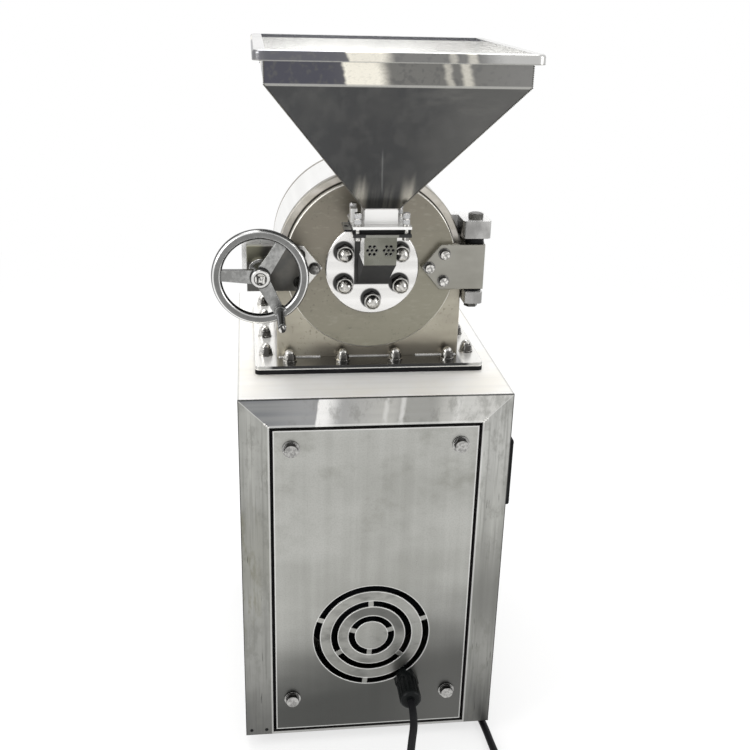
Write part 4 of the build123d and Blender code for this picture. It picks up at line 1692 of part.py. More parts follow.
# Lead from the gland to the coil
cord_radii = bend_radii(CORD_POINTS)
with BuildPart() as cord:
    with BuildLine() as cord_path:
        FilletPolyline(*CORD_POINTS, radius=cord_radii)
    with BuildSketch(Plane(origin=cord_path.line @ 0, z_dir=cord_path.line % 0)):
        Circle(CORD_DIAMETER / 2)
    sweep()
cord.part.label = "cord"
export_step(cord.part, "parts/cord.step")
cord_section = pi * (CORD_DIAMETER / 2) ** 2
cord_length = cord_path.wire().length
print("cord bends", [round(radius, 1) for radius in cord_radii])
print("cord length", round(cord_length))
print("cord volume ratio", round(cord.part.volume / (cord_section * cord_length), 4))


def coil_radius(quarter):
    """Radius after a number of quarter turns: evenly in, then out, half a pitch wider in the first half turn."""
    turns_in = min(quarter, CLIMB_END) / 4
    turns_out = max(quarter - CLIMB_END, 0) / 4
    return COIL_RADIUS + COIL_PITCH * (turns_out + min(turns_out, 1 / 2) - turns_in)


def coil_place(quarter):
    """Point and direction of the coil after a number of quarter turns."""
    climbed = min(max(quarter - COIL_QUARTERS_IN, 0) / COIL_QUARTERS_CLIMB, 1)
    radius = coil_radius(quarter)
    angle = quarter * pi / 2
    outwards = 0.0
    upwards = 0.0
    if 0 < quarter < COIL_QUARTERS:
        outwards = (coil_radius(quarter + 1 / 2) - coil_radius(quarter - 1 / 2)) / (pi / 2)
    if COIL_QUARTERS_IN < quarter < CLIMB_END:
        upwards = COIL_LAYER / (COIL_QUARTERS_CLIMB * pi / 2)
    point = Vector(
        COIL_X + radius * cos(angle),
        COIL_Y + radius * sin(angle),
        COIL_HEIGHT + COIL_LAYER * climbed,
    )
    direction = Vector(
        outwards * cos(angle) - radius * sin(angle),
        outwards * sin(angle) + radius * cos(angle),
        upwards,
    )
    return point, direction.normalized()


def tangent_arcs(start, start_direction, end, end_direction):
    """Two arcs that join two points smoothly in the given directions."""
    span = end - start
    both = start_direction + end_direction
    bend = 2 * (1 - start_direction.dot(end_direction))
    reach = (sqrt(span.dot(both) ** 2 + bend * span.dot(span)) - span.dot(both)) / bend
    first_control = start + start_direction * reach
    last_control = end - end_direction * reach
    middle = (first_control + last_control) / 2
    TangentArc(start, middle, tangent=start_direction)
    TangentArc(middle, end, tangent=last_control - first_control)


# Coil: one unbroken tube that spirals in, climbs a layer and spirals out, with straight ends
coil_start, coil_start_direction = coil_place(0)
coil_end, coil_end_direction = coil_place(COIL_QUARTERS)
plug_start = coil_end + coil_end_direction * CORD_DIAMETER
with BuildPart() as cord_coil:
    with BuildLine() as coil_path:
        Line(coil_start - coil_start_direction * CORD_DIAMETER, coil_start)
        for quarter in range(COIL_QUARTERS):
            tangent_arcs(*coil_place(quarter), *coil_place(quarter + 1))
        Line(coil_end, plug_start)
    with BuildSketch(Plane(origin=coil_path.line @ 0, z_dir=coil_path.line % 0)):
        Circle(CORD_DIAMETER / 2)
    sweep()
cord_coil.part.label = "cord_coil"
export_step(cord_coil.part, "parts/cord_coil.step")
coil_wire = coil_path.wire()
coil_length = coil_wire.length
coil_samples = [coil_wire.position_at(step / 600) for step in range(601)]
half_turn_samples = ceil(pi * COIL_RADIUS / 2 / (coil_length / 600))
coil_room = min(
    (coil_samples[i] - coil_samples[j]).length
    for i in range(len(coil_samples))
    for j in range(i + half_turn_samples, len(coil_samples))
)
print("coil length", round(coil_length), "gap to itself", round(coil_room - CORD_DIAMETER, 2))
print("coil volume ratio", round(cord_coil.part.volume / (cord_section * coil_length), 4))

# Tie: a strap round the coil's strands
tie_angle = radians(TIE_ANGLE)
tie_plane = Plane(
    origin=(COIL_X, COIL_Y, COIL_HEIGHT + COIL_LAYER / 2),
    x_dir=(cos(tie_angle), sin(tie_angle), 0),
    z_dir=(sin(tie_angle), -cos(tie_angle), 0),
)
coil_local = [tie_plane.to_local_coords(sample) for sample in coil_samples]
strands = [place.X for place in coil_local if place.X > 0 and abs(place.Z) < TIE_WIDTH]
tie_inner = min(strands) - CORD_DIAMETER / 2 - TIE_ROOM
tie_outer = max(strands) + CORD_DIAMETER / 2 + TIE_ROOM
tie_height = COIL_LAYER + CORD_DIAMETER + 2 * TIE_ROOM
with BuildPart() as coil_tie:
    with BuildSketch(tie_plane):
        with Locations(((tie_inner + tie_outer) / 2, 0)):
            Rectangle(tie_outer - tie_inner + 2 * TIE_THICKNESS, tie_height + 2 * TIE_THICKNESS)
            Rectangle(tie_outer - tie_inner, tie_height, mode=Mode.SUBTRACT)
    extrude(amount=TIE_WIDTH / 2, both=True)
coil_tie.part.label = "coil_tie"
export_step(coil_tie.part, "parts/coil_tie.step")

# Plug: boot, round body and three pins, in line with the end of the coil
with BuildPart() as plug:
    with BuildSketch(Plane(origin=plug_start, z_dir=coil_end_direction)):
        Circle(PLUG_BOOT_RADIUS)
    extrude(amount=PLUG_BOOT)
    body_start = plug_start + coil_end_direction * PLUG_BOOT
    with BuildSketch(Plane(origin=body_start, z_dir=coil_end_direction)):
        Circle(PLUG_BODY_RADIUS)
    extrude(amount=PLUG_BODY)
    body_rims = plug.edges().group_by(SortBy.LENGTH)[-1]
    fillet(body_rims, radius=PLUG_BODY_FILLET)
    pin_start = body_start + coil_end_direction * PLUG_BODY
    with BuildSketch(Plane(origin=pin_start, z_dir=coil_end_direction)):
        with PolarLocations(radius=PLUG_PIN_CIRCLE, count=3):
            Circle(PLUG_PIN_RADIUS)
    extrude(amount=PLUG_PIN)
plug.part.label = "plug"
export_step(plug.part, "parts/plug.step")
print("lead in all", round(cord_length + coil_length), "without the plug")
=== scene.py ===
# %% [markdown]
# # A food pulverizer in Blender
# The machine is a pin mill: a square hopper feeds a round grinding chamber, which stands on a stainless
# cabinet with the motor inside. Its exact shapes come from CAD and are loaded as a fixed frame. What is
# added here is what a CAD model leaves out: the finish of every sheet and casting, the welds and knurls,
# and the lead that lies on the floor. The frame's plain colours go at once, so that each finish below has
# its own name.

# %% Load the frame
import json
from math import cos, pi, radians, sin

import bpy
from mathutils import Matrix, Vector


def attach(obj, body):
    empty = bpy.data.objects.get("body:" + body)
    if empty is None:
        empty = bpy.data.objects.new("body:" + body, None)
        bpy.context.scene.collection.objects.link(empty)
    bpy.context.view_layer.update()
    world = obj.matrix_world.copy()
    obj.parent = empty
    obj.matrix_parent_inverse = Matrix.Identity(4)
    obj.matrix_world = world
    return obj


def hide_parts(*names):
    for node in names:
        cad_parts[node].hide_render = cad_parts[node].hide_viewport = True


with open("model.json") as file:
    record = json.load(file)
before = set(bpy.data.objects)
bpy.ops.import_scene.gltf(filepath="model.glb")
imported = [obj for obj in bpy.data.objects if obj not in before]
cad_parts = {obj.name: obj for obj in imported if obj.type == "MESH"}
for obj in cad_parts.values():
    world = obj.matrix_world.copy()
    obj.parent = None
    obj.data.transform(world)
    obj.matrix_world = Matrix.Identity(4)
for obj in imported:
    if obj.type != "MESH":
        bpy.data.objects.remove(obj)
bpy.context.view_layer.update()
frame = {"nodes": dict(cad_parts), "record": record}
nodes = frame["nodes"]
for plain_colour in list(bpy.data.materials):
    bpy.data.materials.remove(plain_colour)
scene = bpy.context.scene
scene.view_settings.view_transform = "Standard"

# %% [markdown]
# ## Camera
# The photograph was taken from in front, above the hopper's rim and a little to the left, with the picture
# very slightly turned. A camera could be aimed with a Track To constraint, but that can't hold the small
# roll, so its three axes are worked out from the yaw, pitch and roll that fit the photograph and set as one
# matrix.

# %% Place the camera
CAMERA_PLACE = Vector((-0.17587, -1.51291, 1.17266))
CAMERA_YAW = 0.1290
CAMERA_PITCH = 0.3763
CAMERA_ROLL = -0.0269
FOCAL_LENGTH = 48.22
SENSOR_WIDTH = 36.0
VIEW_DEPTH = 200.0

ahead = Vector((sin(CAMERA_YAW) * cos(CAMERA_PITCH), cos(CAMERA_YAW) * cos(CAMERA_PITCH),
                -sin(CAMERA_PITCH)))
level = Vector((cos(CAMERA_YAW), -sin(CAMERA_YAW), 0.0))
below = ahead.cross(level)
across = cos(CAMERA_ROLL) * level + sin(CAMERA_ROLL) * below
down = cos(CAMERA_ROLL) * below - sin(CAMERA_ROLL) * level
camera = bpy.data.objects.new("camera", bpy.data.cameras.new("camera"))
camera.data.lens = FOCAL_LENGTH
camera.data.sensor_width = SENSOR_WIDTH
camera.data.clip_end = VIEW_DEPTH
camera.matrix_world = Matrix.Translation(CAMERA_PLACE) @ Matrix((across, -down, -ahead)).transposed().to_4x4()
scene.collection.objects.link(camera)
scene.camera = camera
print("camera at", CAMERA_PLACE[:])

# %% [markdown]
# ## Lead
# A 12 mm rubber lead leaves the gland straight, sinks to the floor under its own weight, and runs round the
# right-hand side to the back, where the length that isn't needed is wound into a coil. The route needs only
# a few points, which are listed. The coil could be set by hand, but a function of the turns keeps it even:
# it winds inwards on the floor, climbs, and winds out again on top.

# %% Points of the lead
LEAD_DIAMETER = 0.012
LEAD_POINTS = [
    (0.058, -0.257, 0.120), (0.058, -0.297, 0.120), (0.047, -0.333, 0.102), (0.041, -0.359, 0.073),
    (0.045, -0.384, 0.044), (0.060, -0.408, 0.0215), (0.088, -0.430, 0.009), (0.126, -0.440, 0.0062),
    (0.167, -0.430, 0.0062), (0.197, -0.401, 0.0062), (0.212, -0.360, 0.0062), (0.209, -0.310, 0.0062),
    (0.200, -0.255, 0.0062), (0.197, -0.184, 0.0062), (0.187, -0.125, 0.0062), (0.172, -0.050, 0.0062),
    (0.155, 0.025, 0.0062), (0.136, 0.100, 0.0062), (0.117, 0.175, 0.0064), (0.102, 0.250, 0.0068),
    (0.092, 0.325, 0.0075), (0.087, 0.382, 0.008), (0.087, 0.420, 0.008),
]
COIL_MIDDLE = Vector((0.0, 0.432, 0.0))
COIL_RADIUS = 0.087
COIL_PITCH = 0.0132
COIL_FOOT = 0.008
COIL_LAYER = 0.013
COIL_TURNS = 3.25
TURNS_INWARDS = 2.0
CLIMB = 0.5
POINTS_A_TURN = 16


def coil_point(turns):
    """The point of the coil after so many turns."""
    inwards = min(turns, TURNS_INWARDS)
    outwards = max(turns - TURNS_INWARDS, 0.0)
    climbed = min(max((turns - TURNS_INWARDS + CLIMB) / CLIMB, 0.0), 1.0)
    radius = COIL_RADIUS + COIL_PITCH * (outwards + min(outwards, CLIMB) - inwards)
    angle = 2 * pi * turns
    return COIL_MIDDLE + Vector((radius * cos(angle), radius * sin(angle), COIL_FOOT + COIL_LAYER * climbed))


lead_points = [Vector(point) for point in LEAD_POINTS]
lead_points += [coil_point(count / POINTS_A_TURN) for count in range(1, int(COIL_TURNS * POINTS_A_TURN) + 1)]
lead_end = coil_point(COIL_TURNS) - Vector((LEAD_DIAMETER, 0, 0))
lead_points.append(lead_end)
print("lead with", len(lead_points), "control points, ends at", lead_end[:])

# %% [markdown]
# A mesh tube would do for the lead, but one NURBS curve keeps it a single smooth line. The thickness is
# given as each point's radius, with a bevel depth of 1, because a curve's bounding box grows by the radius
# of its points.

# %% Draw the lead
lead_curve = bpy.data.curves.new("lead", "CURVE")
lead_curve.dimensions = "3D"
lead_curve.bevel_depth = 1.0
lead_curve.bevel_resolution = 5
lead_curve.use_fill_caps = True
lead_line = lead_curve.splines.new("NURBS")
lead_line.points.add(len(lead_points) - 1)
for target, point in zip(lead_line.points, lead_points):
    target.co = (*point, 1.0)
    target.radius = LEAD_DIAMETER / 2
lead_line.order_u = 3
lead_line.use_endpoint_u = True
lead_line.resolution_u = 8
lead = bpy.data.objects.new("lead", lead_curve)
scene.collection.objects.link(lead)
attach(lead, "base")
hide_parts("cord", "cord_coil")
print("lead of", LEAD_DIAMETER, "m drawn")

# %% [markdown]
# ## Shader sums
# Finishes are worked out with many small sums. Adding each Math node by hand hides the sum, so one small
# class wraps a node's output and makes the node when Python adds or multiplies it. Any other node comes
# from its one method.

# %% The socket class
class Wire:
    """One output socket in a node tree; sums on it add Math nodes."""

    def __init__(self, tree, socket=None):
        self.tree = tree
        self.socket = socket

    def node(self, kind, inputs=None, out=0, **settings):
        """Adds a node, gives it its settings and its sockets' values or links, and wraps one output."""
        made = self.tree.nodes.new("ShaderNode" + kind)
        for name, value in settings.items():
            setattr(made, name, value)
        for name, value in (inputs or {}).items():
            if isinstance(value, Wire):
                self.tree.links.new(value.socket, made.inputs[name])
            else:
                made.inputs[name].default_value = value
        return Wire(self.tree, made.outputs[out])

    def math(self, operation, first, second=0.0):
        """Adds a Math node."""
        return self.node("Math", {0: first, 1: second}, operation=operation)

    def __add__(self, other):
        return self.math("ADD", self, other)

    def __mul__(self, other):
        return self.math("MULTIPLY", self, other)

    def __sub__(self, other):
        return self.math("SUBTRACT", self, other)

    def __rsub__(self, other):
        return self.math("SUBTRACT", other, self)

    def __abs__(self):
        return self.math("ABSOLUTE", self)

    __radd__ = __add__
    __rmul__ = __mul__


print("socket class ready")

# %% [markdown]
# A finish is told apart into zones by soft edges and stripes in the object's own coordinates. They could be
# drawn as colour ramps, but a few short functions read more plainly and come back in every finish.

# %% Edges and stripes
def axes(place):
    """The three coordinates of a place or direction."""
    return [place.node("SeparateXYZ", {0: place}, out=name) for name in "XYZ"]


def facings(where):
    """How far a surface faces right, back and up."""
    return axes(where.node("TexCoord", out="Normal"))


def step(value, low, high):
    """Rises smoothly from 0 at low to 1 at high, or falls where high is the lower one."""
    ends = {"Value": value, "From Min": low, "From Max": high}
    return value.node("MapRange", ends, interpolation_type="SMOOTHSTEP")


def past(value, edge, soft):
    """1 beyond an edge and 0 before it, or the other way round where soft is negative."""
    return step(value, edge - soft, edge + soft)


def near(value, middle, half, soft):
    """A stripe: 1 close to the middle, and 0 beyond the half width and its soft edge."""
    return 1 - step(abs(value - middle), half, half + soft)


def far(aside, up):
    """The distance of a point from an axis, by its two offsets."""
    return aside.math("SQRT", aside * aside + up * up)


def most(first, *others):
    """The largest of several values."""
    for other in others:
        first = first.math("MAXIMUM", first, other)
    return first


def least(first, *others):
    """The smallest of several values."""
    for other in others:
        first = first.math("MINIMUM", first, other)
    return first


print("edges and stripes ready")

# %% [markdown]
# Zones alone would look printed, so noise breaks them up: stretched for streaks and wipes, along one
# distance for rings and bars, or cut into patches for stains. An image could hold such marks, but noise has
# no seams and no resolution. Each mark is a coat over the colour below it, as a painter would lay it on.

# %% Noise and coats
def noise(where, waves, detail=2.0, rough=0.5):
    """Noise with so many waves to the metre, as one number or as one for each axis."""
    scale = waves if isinstance(waves, tuple) else (waves, waves, waves)
    placed = where.node("Mapping", {"Vector": where, "Scale": scale})
    return where.node("TexNoise", {"Vector": placed, "Scale": 1.0, "Detail": detail, "Roughness": rough})


def ripples(distance, waves):
    """Noise along one distance."""
    return distance.node("TexNoise", {"W": distance, "Scale": waves, "Detail": 1.0}, noise_dimensions="1D")


def patches(where, waves, low, high, detail=2.0, rough=0.5):
    """Noise cut into patches with soft edges."""
    return step(noise(where, waves, detail, rough), low, high)


def swing(value, amount):
    """Noise turned into a swing round 0, of which amount is the whole width."""
    return amount * (value - 0.5)


def blend(factor, first, second):
    """Mixes two colours, each a wire or three numbers."""
    first, second = (tone if isinstance(tone, Wire) else (*tone, 1) for tone in (first, second))
    return factor.node("Mix", {0: factor, 6: first, 7: second}, out=2, data_type="RGBA")


def layered(colour, *coats):
    """Lays coats over a colour in turn, each given as where and how strongly it lies, and its tone."""
    for strength, tone in coats:
        colour = blend(strength, colour, tone)
    return colour


print("noise and coats ready")

# %% [markdown]
# ## Stage
# The photograph has a white ground and light from a large room. More light would burn the ground white, but
# the steel with it, so the floor and the world are simply white to the camera and in what metal or glass
# mirrors. The floor fades from a pale grey that keeps the shadow into that white.

# %% Floor
WHITE = (1, 1, 1, 1)
FLOOR_SIZE = 120.0
FLOOR_TONE = (0.90, 0.90, 0.895, 1)
GLOW_NEAR, GLOW_FAR = 0.66, 1.0
FADE_START, FADE_END = 0.9, 3.2


def background_rays(start):
    """1 for rays from the camera and for those that metal or glass sends on."""
    kinds = [start.node("LightPath", out=f"Is {kind} Ray") for kind in ("Camera", "Glossy", "Transmission")]
    return least(sum(kinds), 1.0)


bpy.ops.object.select_all(action="DESELECT")
bpy.ops.mesh.primitive_plane_add(size=FLOOR_SIZE, location=(0, 0, 0))
floor = bpy.context.object
floor.name = "floor"
floor_look = bpy.data.materials.new("floor_pale")
floor_look.use_nodes = True
floor_tree = floor_look.node_tree
floor_tree.nodes.clear()
start = Wire(floor_tree)
away = start.node("VectorMath", {0: start.node("TexCoord", out="Object")}, out="Value", operation="LENGTH")
glow_share = GLOW_NEAR + (GLOW_FAR - GLOW_NEAR) * step(away, FADE_START, FADE_END)
matt = start.node("BsdfDiffuse", {"Color": FLOOR_TONE})
glow = start.node("Emission", {"Color": WHITE, "Strength": 1.0})
ground = start.node("MixShader", {0: background_rays(start) * glow_share, 1: matt, 2: glow})
floor_tree.links.new(ground.socket, floor_tree.nodes.new("ShaderNodeOutputMaterial").inputs["Surface"])
floor.data.materials.append(floor_look)
print("floor", FLOOR_SIZE, "m wide")

# %% [markdown]
# The light that the world sheds is a room's: a bright ceiling, walls with lighter and darker stretches, and
# a dimmer side where one stands. An image of a room would give the same, but no image is used here, so the
# ceiling and the dim side are steps in the world's directions and the walls are stretched noise.

# %% World
ROOM_DIMMEST, ROOM_BACK, ROOM_WALLS = 0.30, 0.22, 0.34

world = bpy.data.worlds.new("studio")
scene.world = world
world.use_nodes = True
world_tree = world.node_tree
world_tree.nodes.clear()
start = Wire(world_tree)
way = start.node("TexCoord", out="Generated")
_, backward, upward = axes(way)
walls = patches(way, (2.6, 2.6, 0.35), 0.42, 0.58, 1.0)
room = ROOM_DIMMEST + ROOM_BACK * step(backward, -0.6, 0.7) + ROOM_WALLS * walls
room = room + step(upward, 0.12, 0.55) * (1.0 - room)
seen = background_rays(start)
sky = start.node("Background", {"Color": WHITE, "Strength": seen + (1 - seen) * room})
world_tree.links.new(sky.socket, world_tree.nodes.new("ShaderNodeOutputWorld").inputs["Surface"])
print("world with", len(world_tree.nodes), "nodes")

# %% [markdown]
# The lamps are wide, so that their shadows are soft: one overhead, one like a window on the left, and a
# weak one on the right that fills the dark side. Point lamps would leave hard sparks on the steel.

# %% Lamps
LAMP_AIM = Vector((0, 0, 0.7))
LAMPS = {
    "overhead": ((-0.2, 0.4, 2.9), LAMP_AIM, 2.0, 1.6, 40),
    "window": ((-2.3, -1.3, 1.9), LAMP_AIM, 1.2, 1.8, 32),
    "right_fill": ((2.2, -1.0, 1.5), Vector((0, 0, 0.6)), 1.0, 1.6, 14),
}
for name, (place, aim, width, height, watts) in LAMPS.items():
    light = bpy.data.lights.new(name, "AREA")
    light.shape = "RECTANGLE"
    light.size = width
    light.size_y = height
    light.energy = watts
    lamp = bpy.data.objects.new(name, light)
    lamp.location = place
    lamp.rotation_euler = (aim - Vector(place)).to_track_quat("-Z", "Y").to_euler()
    scene.collection.objects.link(lamp)
print("lamps", list(LAMPS))

# %% [markdown]
# ## Finishes
# Stainless sheet is never one grey: its grain runs one way, it is cloudy where hands and cloths have been,
# and its folded edges catch the light. Painting that by hand would need an image, so it is made from noise
# in the object's own coordinates, stretched along the grain, and a bevel that rounds the edges in the
# shading.

# %% Begin and end of a finish
ROUNDING_SAMPLES = 4
RELIEF_HEIGHT = 0.0004


def begin(name):
    """A new material, and the object coordinates in it."""
    material = bpy.data.materials.new(name)
    material.use_nodes = True
    return Wire(material.node_tree).node("TexCoord", out="Object")


def finish(name, where, colour, rough, relief, *, groove, edge, metal=1.0, **fixed):
    """Connects colour, roughness, metal and a relief on rounded edges to the named material."""
    rounded = where.node("Bevel", {"Radius": edge}, samples=ROUNDING_SAMPLES)
    bump = {"Strength": groove, "Distance": RELIEF_HEIGHT, "Height": relief, "Normal": rounded}
    looks = {"Base Color": colour, "Roughness": rough, "Metallic": metal, "Normal": where.node("Bump", bump)}
    material = bpy.data.materials[name]
    shader = material.node_tree.nodes["Principled BSDF"]
    for socket, value in {**looks, **fixed}.items():
        if isinstance(value, Wire):
            material.node_tree.links.new(value.socket, shader.inputs[socket])
        else:
            shader.inputs[socket].default_value = value
    return material


print("finish maker ready")

# %% [markdown]
# Most pieces share four kinds of surface, and each kind is a function, so that a finish is one line of
# tones. Brushed sheet has a grain along one axis, which comes from noise that is more than a hundred times
# finer across it than along it. Satin steel was ground by hand and wiped, and has clouds and specks without
# a grain.

# %% Brushed and ground steel
ACROSS, AWAY, UPRIGHT = range(3)
FINE_WAVES, FINE_ALONG = 850.0, 5.0
BROAD_WAVES, BROAD_ALONG = 60.0, 1.2


def brushing(where, along):
    """Grain, streaks and clouds of a brushed sheet whose grain runs along one axis."""
    fine = tuple(FINE_ALONG if axis == along else FINE_WAVES for axis in range(3))
    broad = tuple(BROAD_ALONG if axis == along else BROAD_WAVES for axis in range(3))
    return noise(where, fine, 3.0, 0.6), noise(where, broad), noise(where, 5.0, 4.0, 0.6)


def sheet_tone(streaks, clouds, dark, light):
    """The colour of brushed sheet."""
    return blend(step(0.6 * streaks + 0.4 * clouds, 0.30, 0.70), dark, light)


def brushed_steel(name, along, light, dark, rough):
    where = begin(name)
    grain, streaks, clouds = brushing(where, along)
    colour = sheet_tone(streaks, clouds, dark, light)
    roughness = rough + swing(clouds, 0.10) + swing(grain, 0.08)
    return finish(name, where, colour, roughness, grain, groove=0.12, edge=0.0012)


def grinding(where):
    """Clouds, specks and wipes of steel that was ground by hand."""
    return noise(where, 7.0, 5.0, 0.62), noise(where, 160.0, 3.0), noise(where, (14.0, 14.0, 42.0))


def satin_tone(clouds, wipes, dark, light):
    """The colour of ground steel."""
    return blend(step(0.6 * clouds + 0.4 * wipes, 0.36, 0.66), dark, light)


def satin_steel(name, light, dark, rough, edge=0.0012):
    where = begin(name)
    clouds, specks, wipes = grinding(where)
    colour = satin_tone(clouds, wipes, dark, light)
    roughness = rough + swing(clouds, 0.14) + swing(specks, 0.06)
    return finish(name, where, colour, roughness, specks, groove=0.08, edge=edge)


print("brushed and ground steel ready")

# %% [markdown]
# Turned heads and nuts are small mirrors, bright on their ends and dark on their flats. At their size a
# true mirror would sparkle from view to view, so the direction that a face points in sets its tone: a
# painted highlight on the ends and painted shade on the flats. Rubber, plastic and enamel have a fine skin,
# which is a shallow relief of round noise.

# %% Turned steel and moulded skins
def turned_steel(name, axis, light, side, lit_left=0.0):
    """Hex heads and dome nuts whose ends face along an axis; flats that face left may take a painted
    highlight too.
    """
    where = begin(name)
    facing = facings(where)
    specks = noise(where, 240.0, 3.0)
    # painted highlight on the ends and, if asked, on flats that face left; painted shade on the other flats
    end = most(step(abs(facing[axis]), 0.15, 0.85), lit_left * step(facing[ACROSS], -0.2, -0.7))
    colour = blend(end * (0.52 + 0.48 * step(specks, 0.36, 0.66)), side, light)
    return finish(name, where, colour, 0.2 + swing(specks, 0.12), specks, groove=0.05, edge=0.0006)


def moulded(name, light, dark, rough, pebbles, depth, **fixed):
    where = begin(name)
    skin = noise(where, pebbles)
    clouds = noise(where, 22.0, 4.0)
    colour = blend(step(clouds, 0.35, 0.7), dark, light)
    roughness = rough + swing(clouds, 0.16)
    return finish(name, where, colour, roughness, skin, groove=depth, edge=0.0006, metal=0.0, **fixed)


print("turned steel and moulded skins ready")

# %% [markdown]
# ## Access panel
# The panel is what one sees most of: a cloudy satin sheet with smudges and a few scratches, with a painted
# reflection of the floor that darkens it towards the bottom, and painted highlights on its cut edges and on
# the lips pressed round its three rings of slots. Between the slots lie dark patches and a painted dark
# reflection on one ring. An image could hold all that. Here each mark is a coat with its own place: the
# slots are rings, so their lips and the dark patches between them follow from the distance to the middle of
# the vent.

# %% Panel finish
PANEL_SIDE, PANEL_FOOT, PANEL_TOP = 0.1494, 0.0358, 0.5644
CUT_EDGE = 0.0004
VENT_HEIGHT = 0.207
VENT_EDGE = 0.095
VENT_LIPS = (0.0920, 0.0810, 0.0643, 0.0533, 0.0368, 0.0258)
SHADED_RING = 0.0450


def panel_finish(name):
    where = begin(name)
    x, _, z = axes(where)
    grain, streaks, clouds = brushing(where, UPRIGHT)
    wide = noise(where, (3.0, 3.0, 9.0), 3.0)
    cloudy = step(0.2 * streaks + 0.4 * clouds + 0.4 * wide, 0.38, 0.60)
    speckle = patches(where, 420.0, 0.46, 0.62)
    smudge = patches(where, (17.0, 17.0, 20.0), 0.46, 0.80, 4.0, 0.62) * step(z, 0.28, 0.48)
    scratch = patches(where, (330.0, 330.0, 14.0), 0.70, 0.74, 1.0) * step(clouds, 0.5, 0.6)
    from_vent = far(x, z - VENT_HEIGHT)
    # painted reflection of the floor: the sheet darkens towards the bottom, less so inside the vent
    low = step(z - 0.28 * x + swing(wide, 0.10), 0.310, 0.090)
    low = low * (1 - 0.6 * step(from_vent, VENT_EDGE, VENT_EDGE - 0.007))
    painted_floor_reflection = blend(step(x, 0.0, 0.13), (0.068, 0.069, 0.066), (0.105, 0.105, 0.100))
    # painted highlight along the cut edges of the sides, the top and the foot
    sides, top = past(abs(x), PANEL_SIDE, CUT_EDGE), past(z, PANEL_TOP, CUT_EDGE)
    rim = most(sides, top, past(z, PANEL_FOOT, -CUT_EDGE))
    # dark patches on the metal between the slots
    dark_vent_patches = patches(where, (16.0, 16.0, 30.0), 0.47, 0.66, 3.0, 0.6) * step(from_vent, 0.083, 0.079)
    # painted dark reflection on the upper side of the second ring of slots
    painted_ring_reflection = near(from_vent, SHADED_RING, 0.0058, 0.0024) * step(z - VENT_HEIGHT + 0.35 * x, 0.008, 0.034)
    # painted highlights along the lips of the slots
    lips = sum(near(from_vent, lip, 0.0004, 0.0007) for lip in VENT_LIPS)
    colour = layered(
        blend(cloudy, (0.338, 0.338, 0.315), (0.447, 0.447, 0.423)),
        (0.22 * speckle, (0.27, 0.27, 0.25)),
        (0.50 * smudge, (0.20, 0.20, 0.172)),
        (0.35 * scratch, (0.2, 0.2, 0.18)),
        (0.94 * low, painted_floor_reflection),
        (0.6 * rim, (0.84, 0.84, 0.82)),
        (0.5 * dark_vent_patches, (0.09, 0.09, 0.085)),
        (0.72 * painted_ring_reflection, (0.068, 0.068, 0.065)),
        (0.6 * lips, (0.88, 0.88, 0.86)),
    )
    roughness = 0.30 + swing(clouds, 0.16) + swing(grain, 0.06)
    return finish(name, where, colour, roughness, grain, groove=0.09, edge=0.0016)


node_looks = {"access_panel": panel_finish("panel_steel")}
print("panel finish with", len(VENT_LIPS), "slot lips")

# %% [markdown]
# ## Front frame
# The frame is mitred from two stiles and a rail. The stiles carry stains and scratches, and a painted
# reflection of the floor darkens them towards the bottom. The rail leans back a little and mirrors the room
# and its windows, as darker and lighter stretches and bars of light. Bars in a real mirror would move with
# the viewer, but the brushed rail smears them so wide that they can lie in its colour as painted reflections.

# %% Tones of stiles and rail
RAIL_MIDDLE = 0.593
WINDOW_START, WINDOW_END = -0.089, -0.048
THIN_BARS = ((0.35, 0.012, 0.0005, 0.005), (0.5, 0.036, 0.001, 0.005), (0.3, 0.118, 0.001, 0.008))


def stile_tone(where, x, z, streaks, clouds):
    right = step(x, 0.10, 0.15)
    blotch = patches(where, (60.0, 60.0, 16.0), 0.47, 0.66, 4.0, 0.65)
    stain = blotch * step(x, -0.165, -0.19) * near(z, 0.335, 0.06, 0.09)
    lines = patches(where, (260.0, 260.0, 8.0), 0.50, 0.66)
    scratch = patches(where, (300.0, 300.0, 24.0), 0.69, 0.73, 1.0) * step(clouds, 0.46, 0.56)
    # painted reflection of the floor: darker towards the bottom
    low = step(z + swing(clouds, 0.08), 0.30, 0.0)
    return layered(
        blend(step(0.45 * streaks + 0.55 * clouds, 0.34, 0.64), (0.275, 0.275, 0.258), (0.425, 0.425, 0.40)),
        (0.75 * stain, (0.17, 0.16, 0.095)),
        (0.45 * (1 - right) * near(z, 0.36, 0.03, 0.07), (0.18, 0.178, 0.15)),
        (0.65 * right * near(z, 0.27, 0.01, 0.12), (0.15, 0.15, 0.14)),
        (0.55 * right * step(z, 0.40, 0.56), (0.56, 0.56, 0.54)),
        (0.40 * lines, (0.20, 0.20, 0.185)),
        (0.75 * scratch, (0.05, 0.05, 0.045)),
        (0.75 * low, (0.075, 0.075, 0.073)),
    )


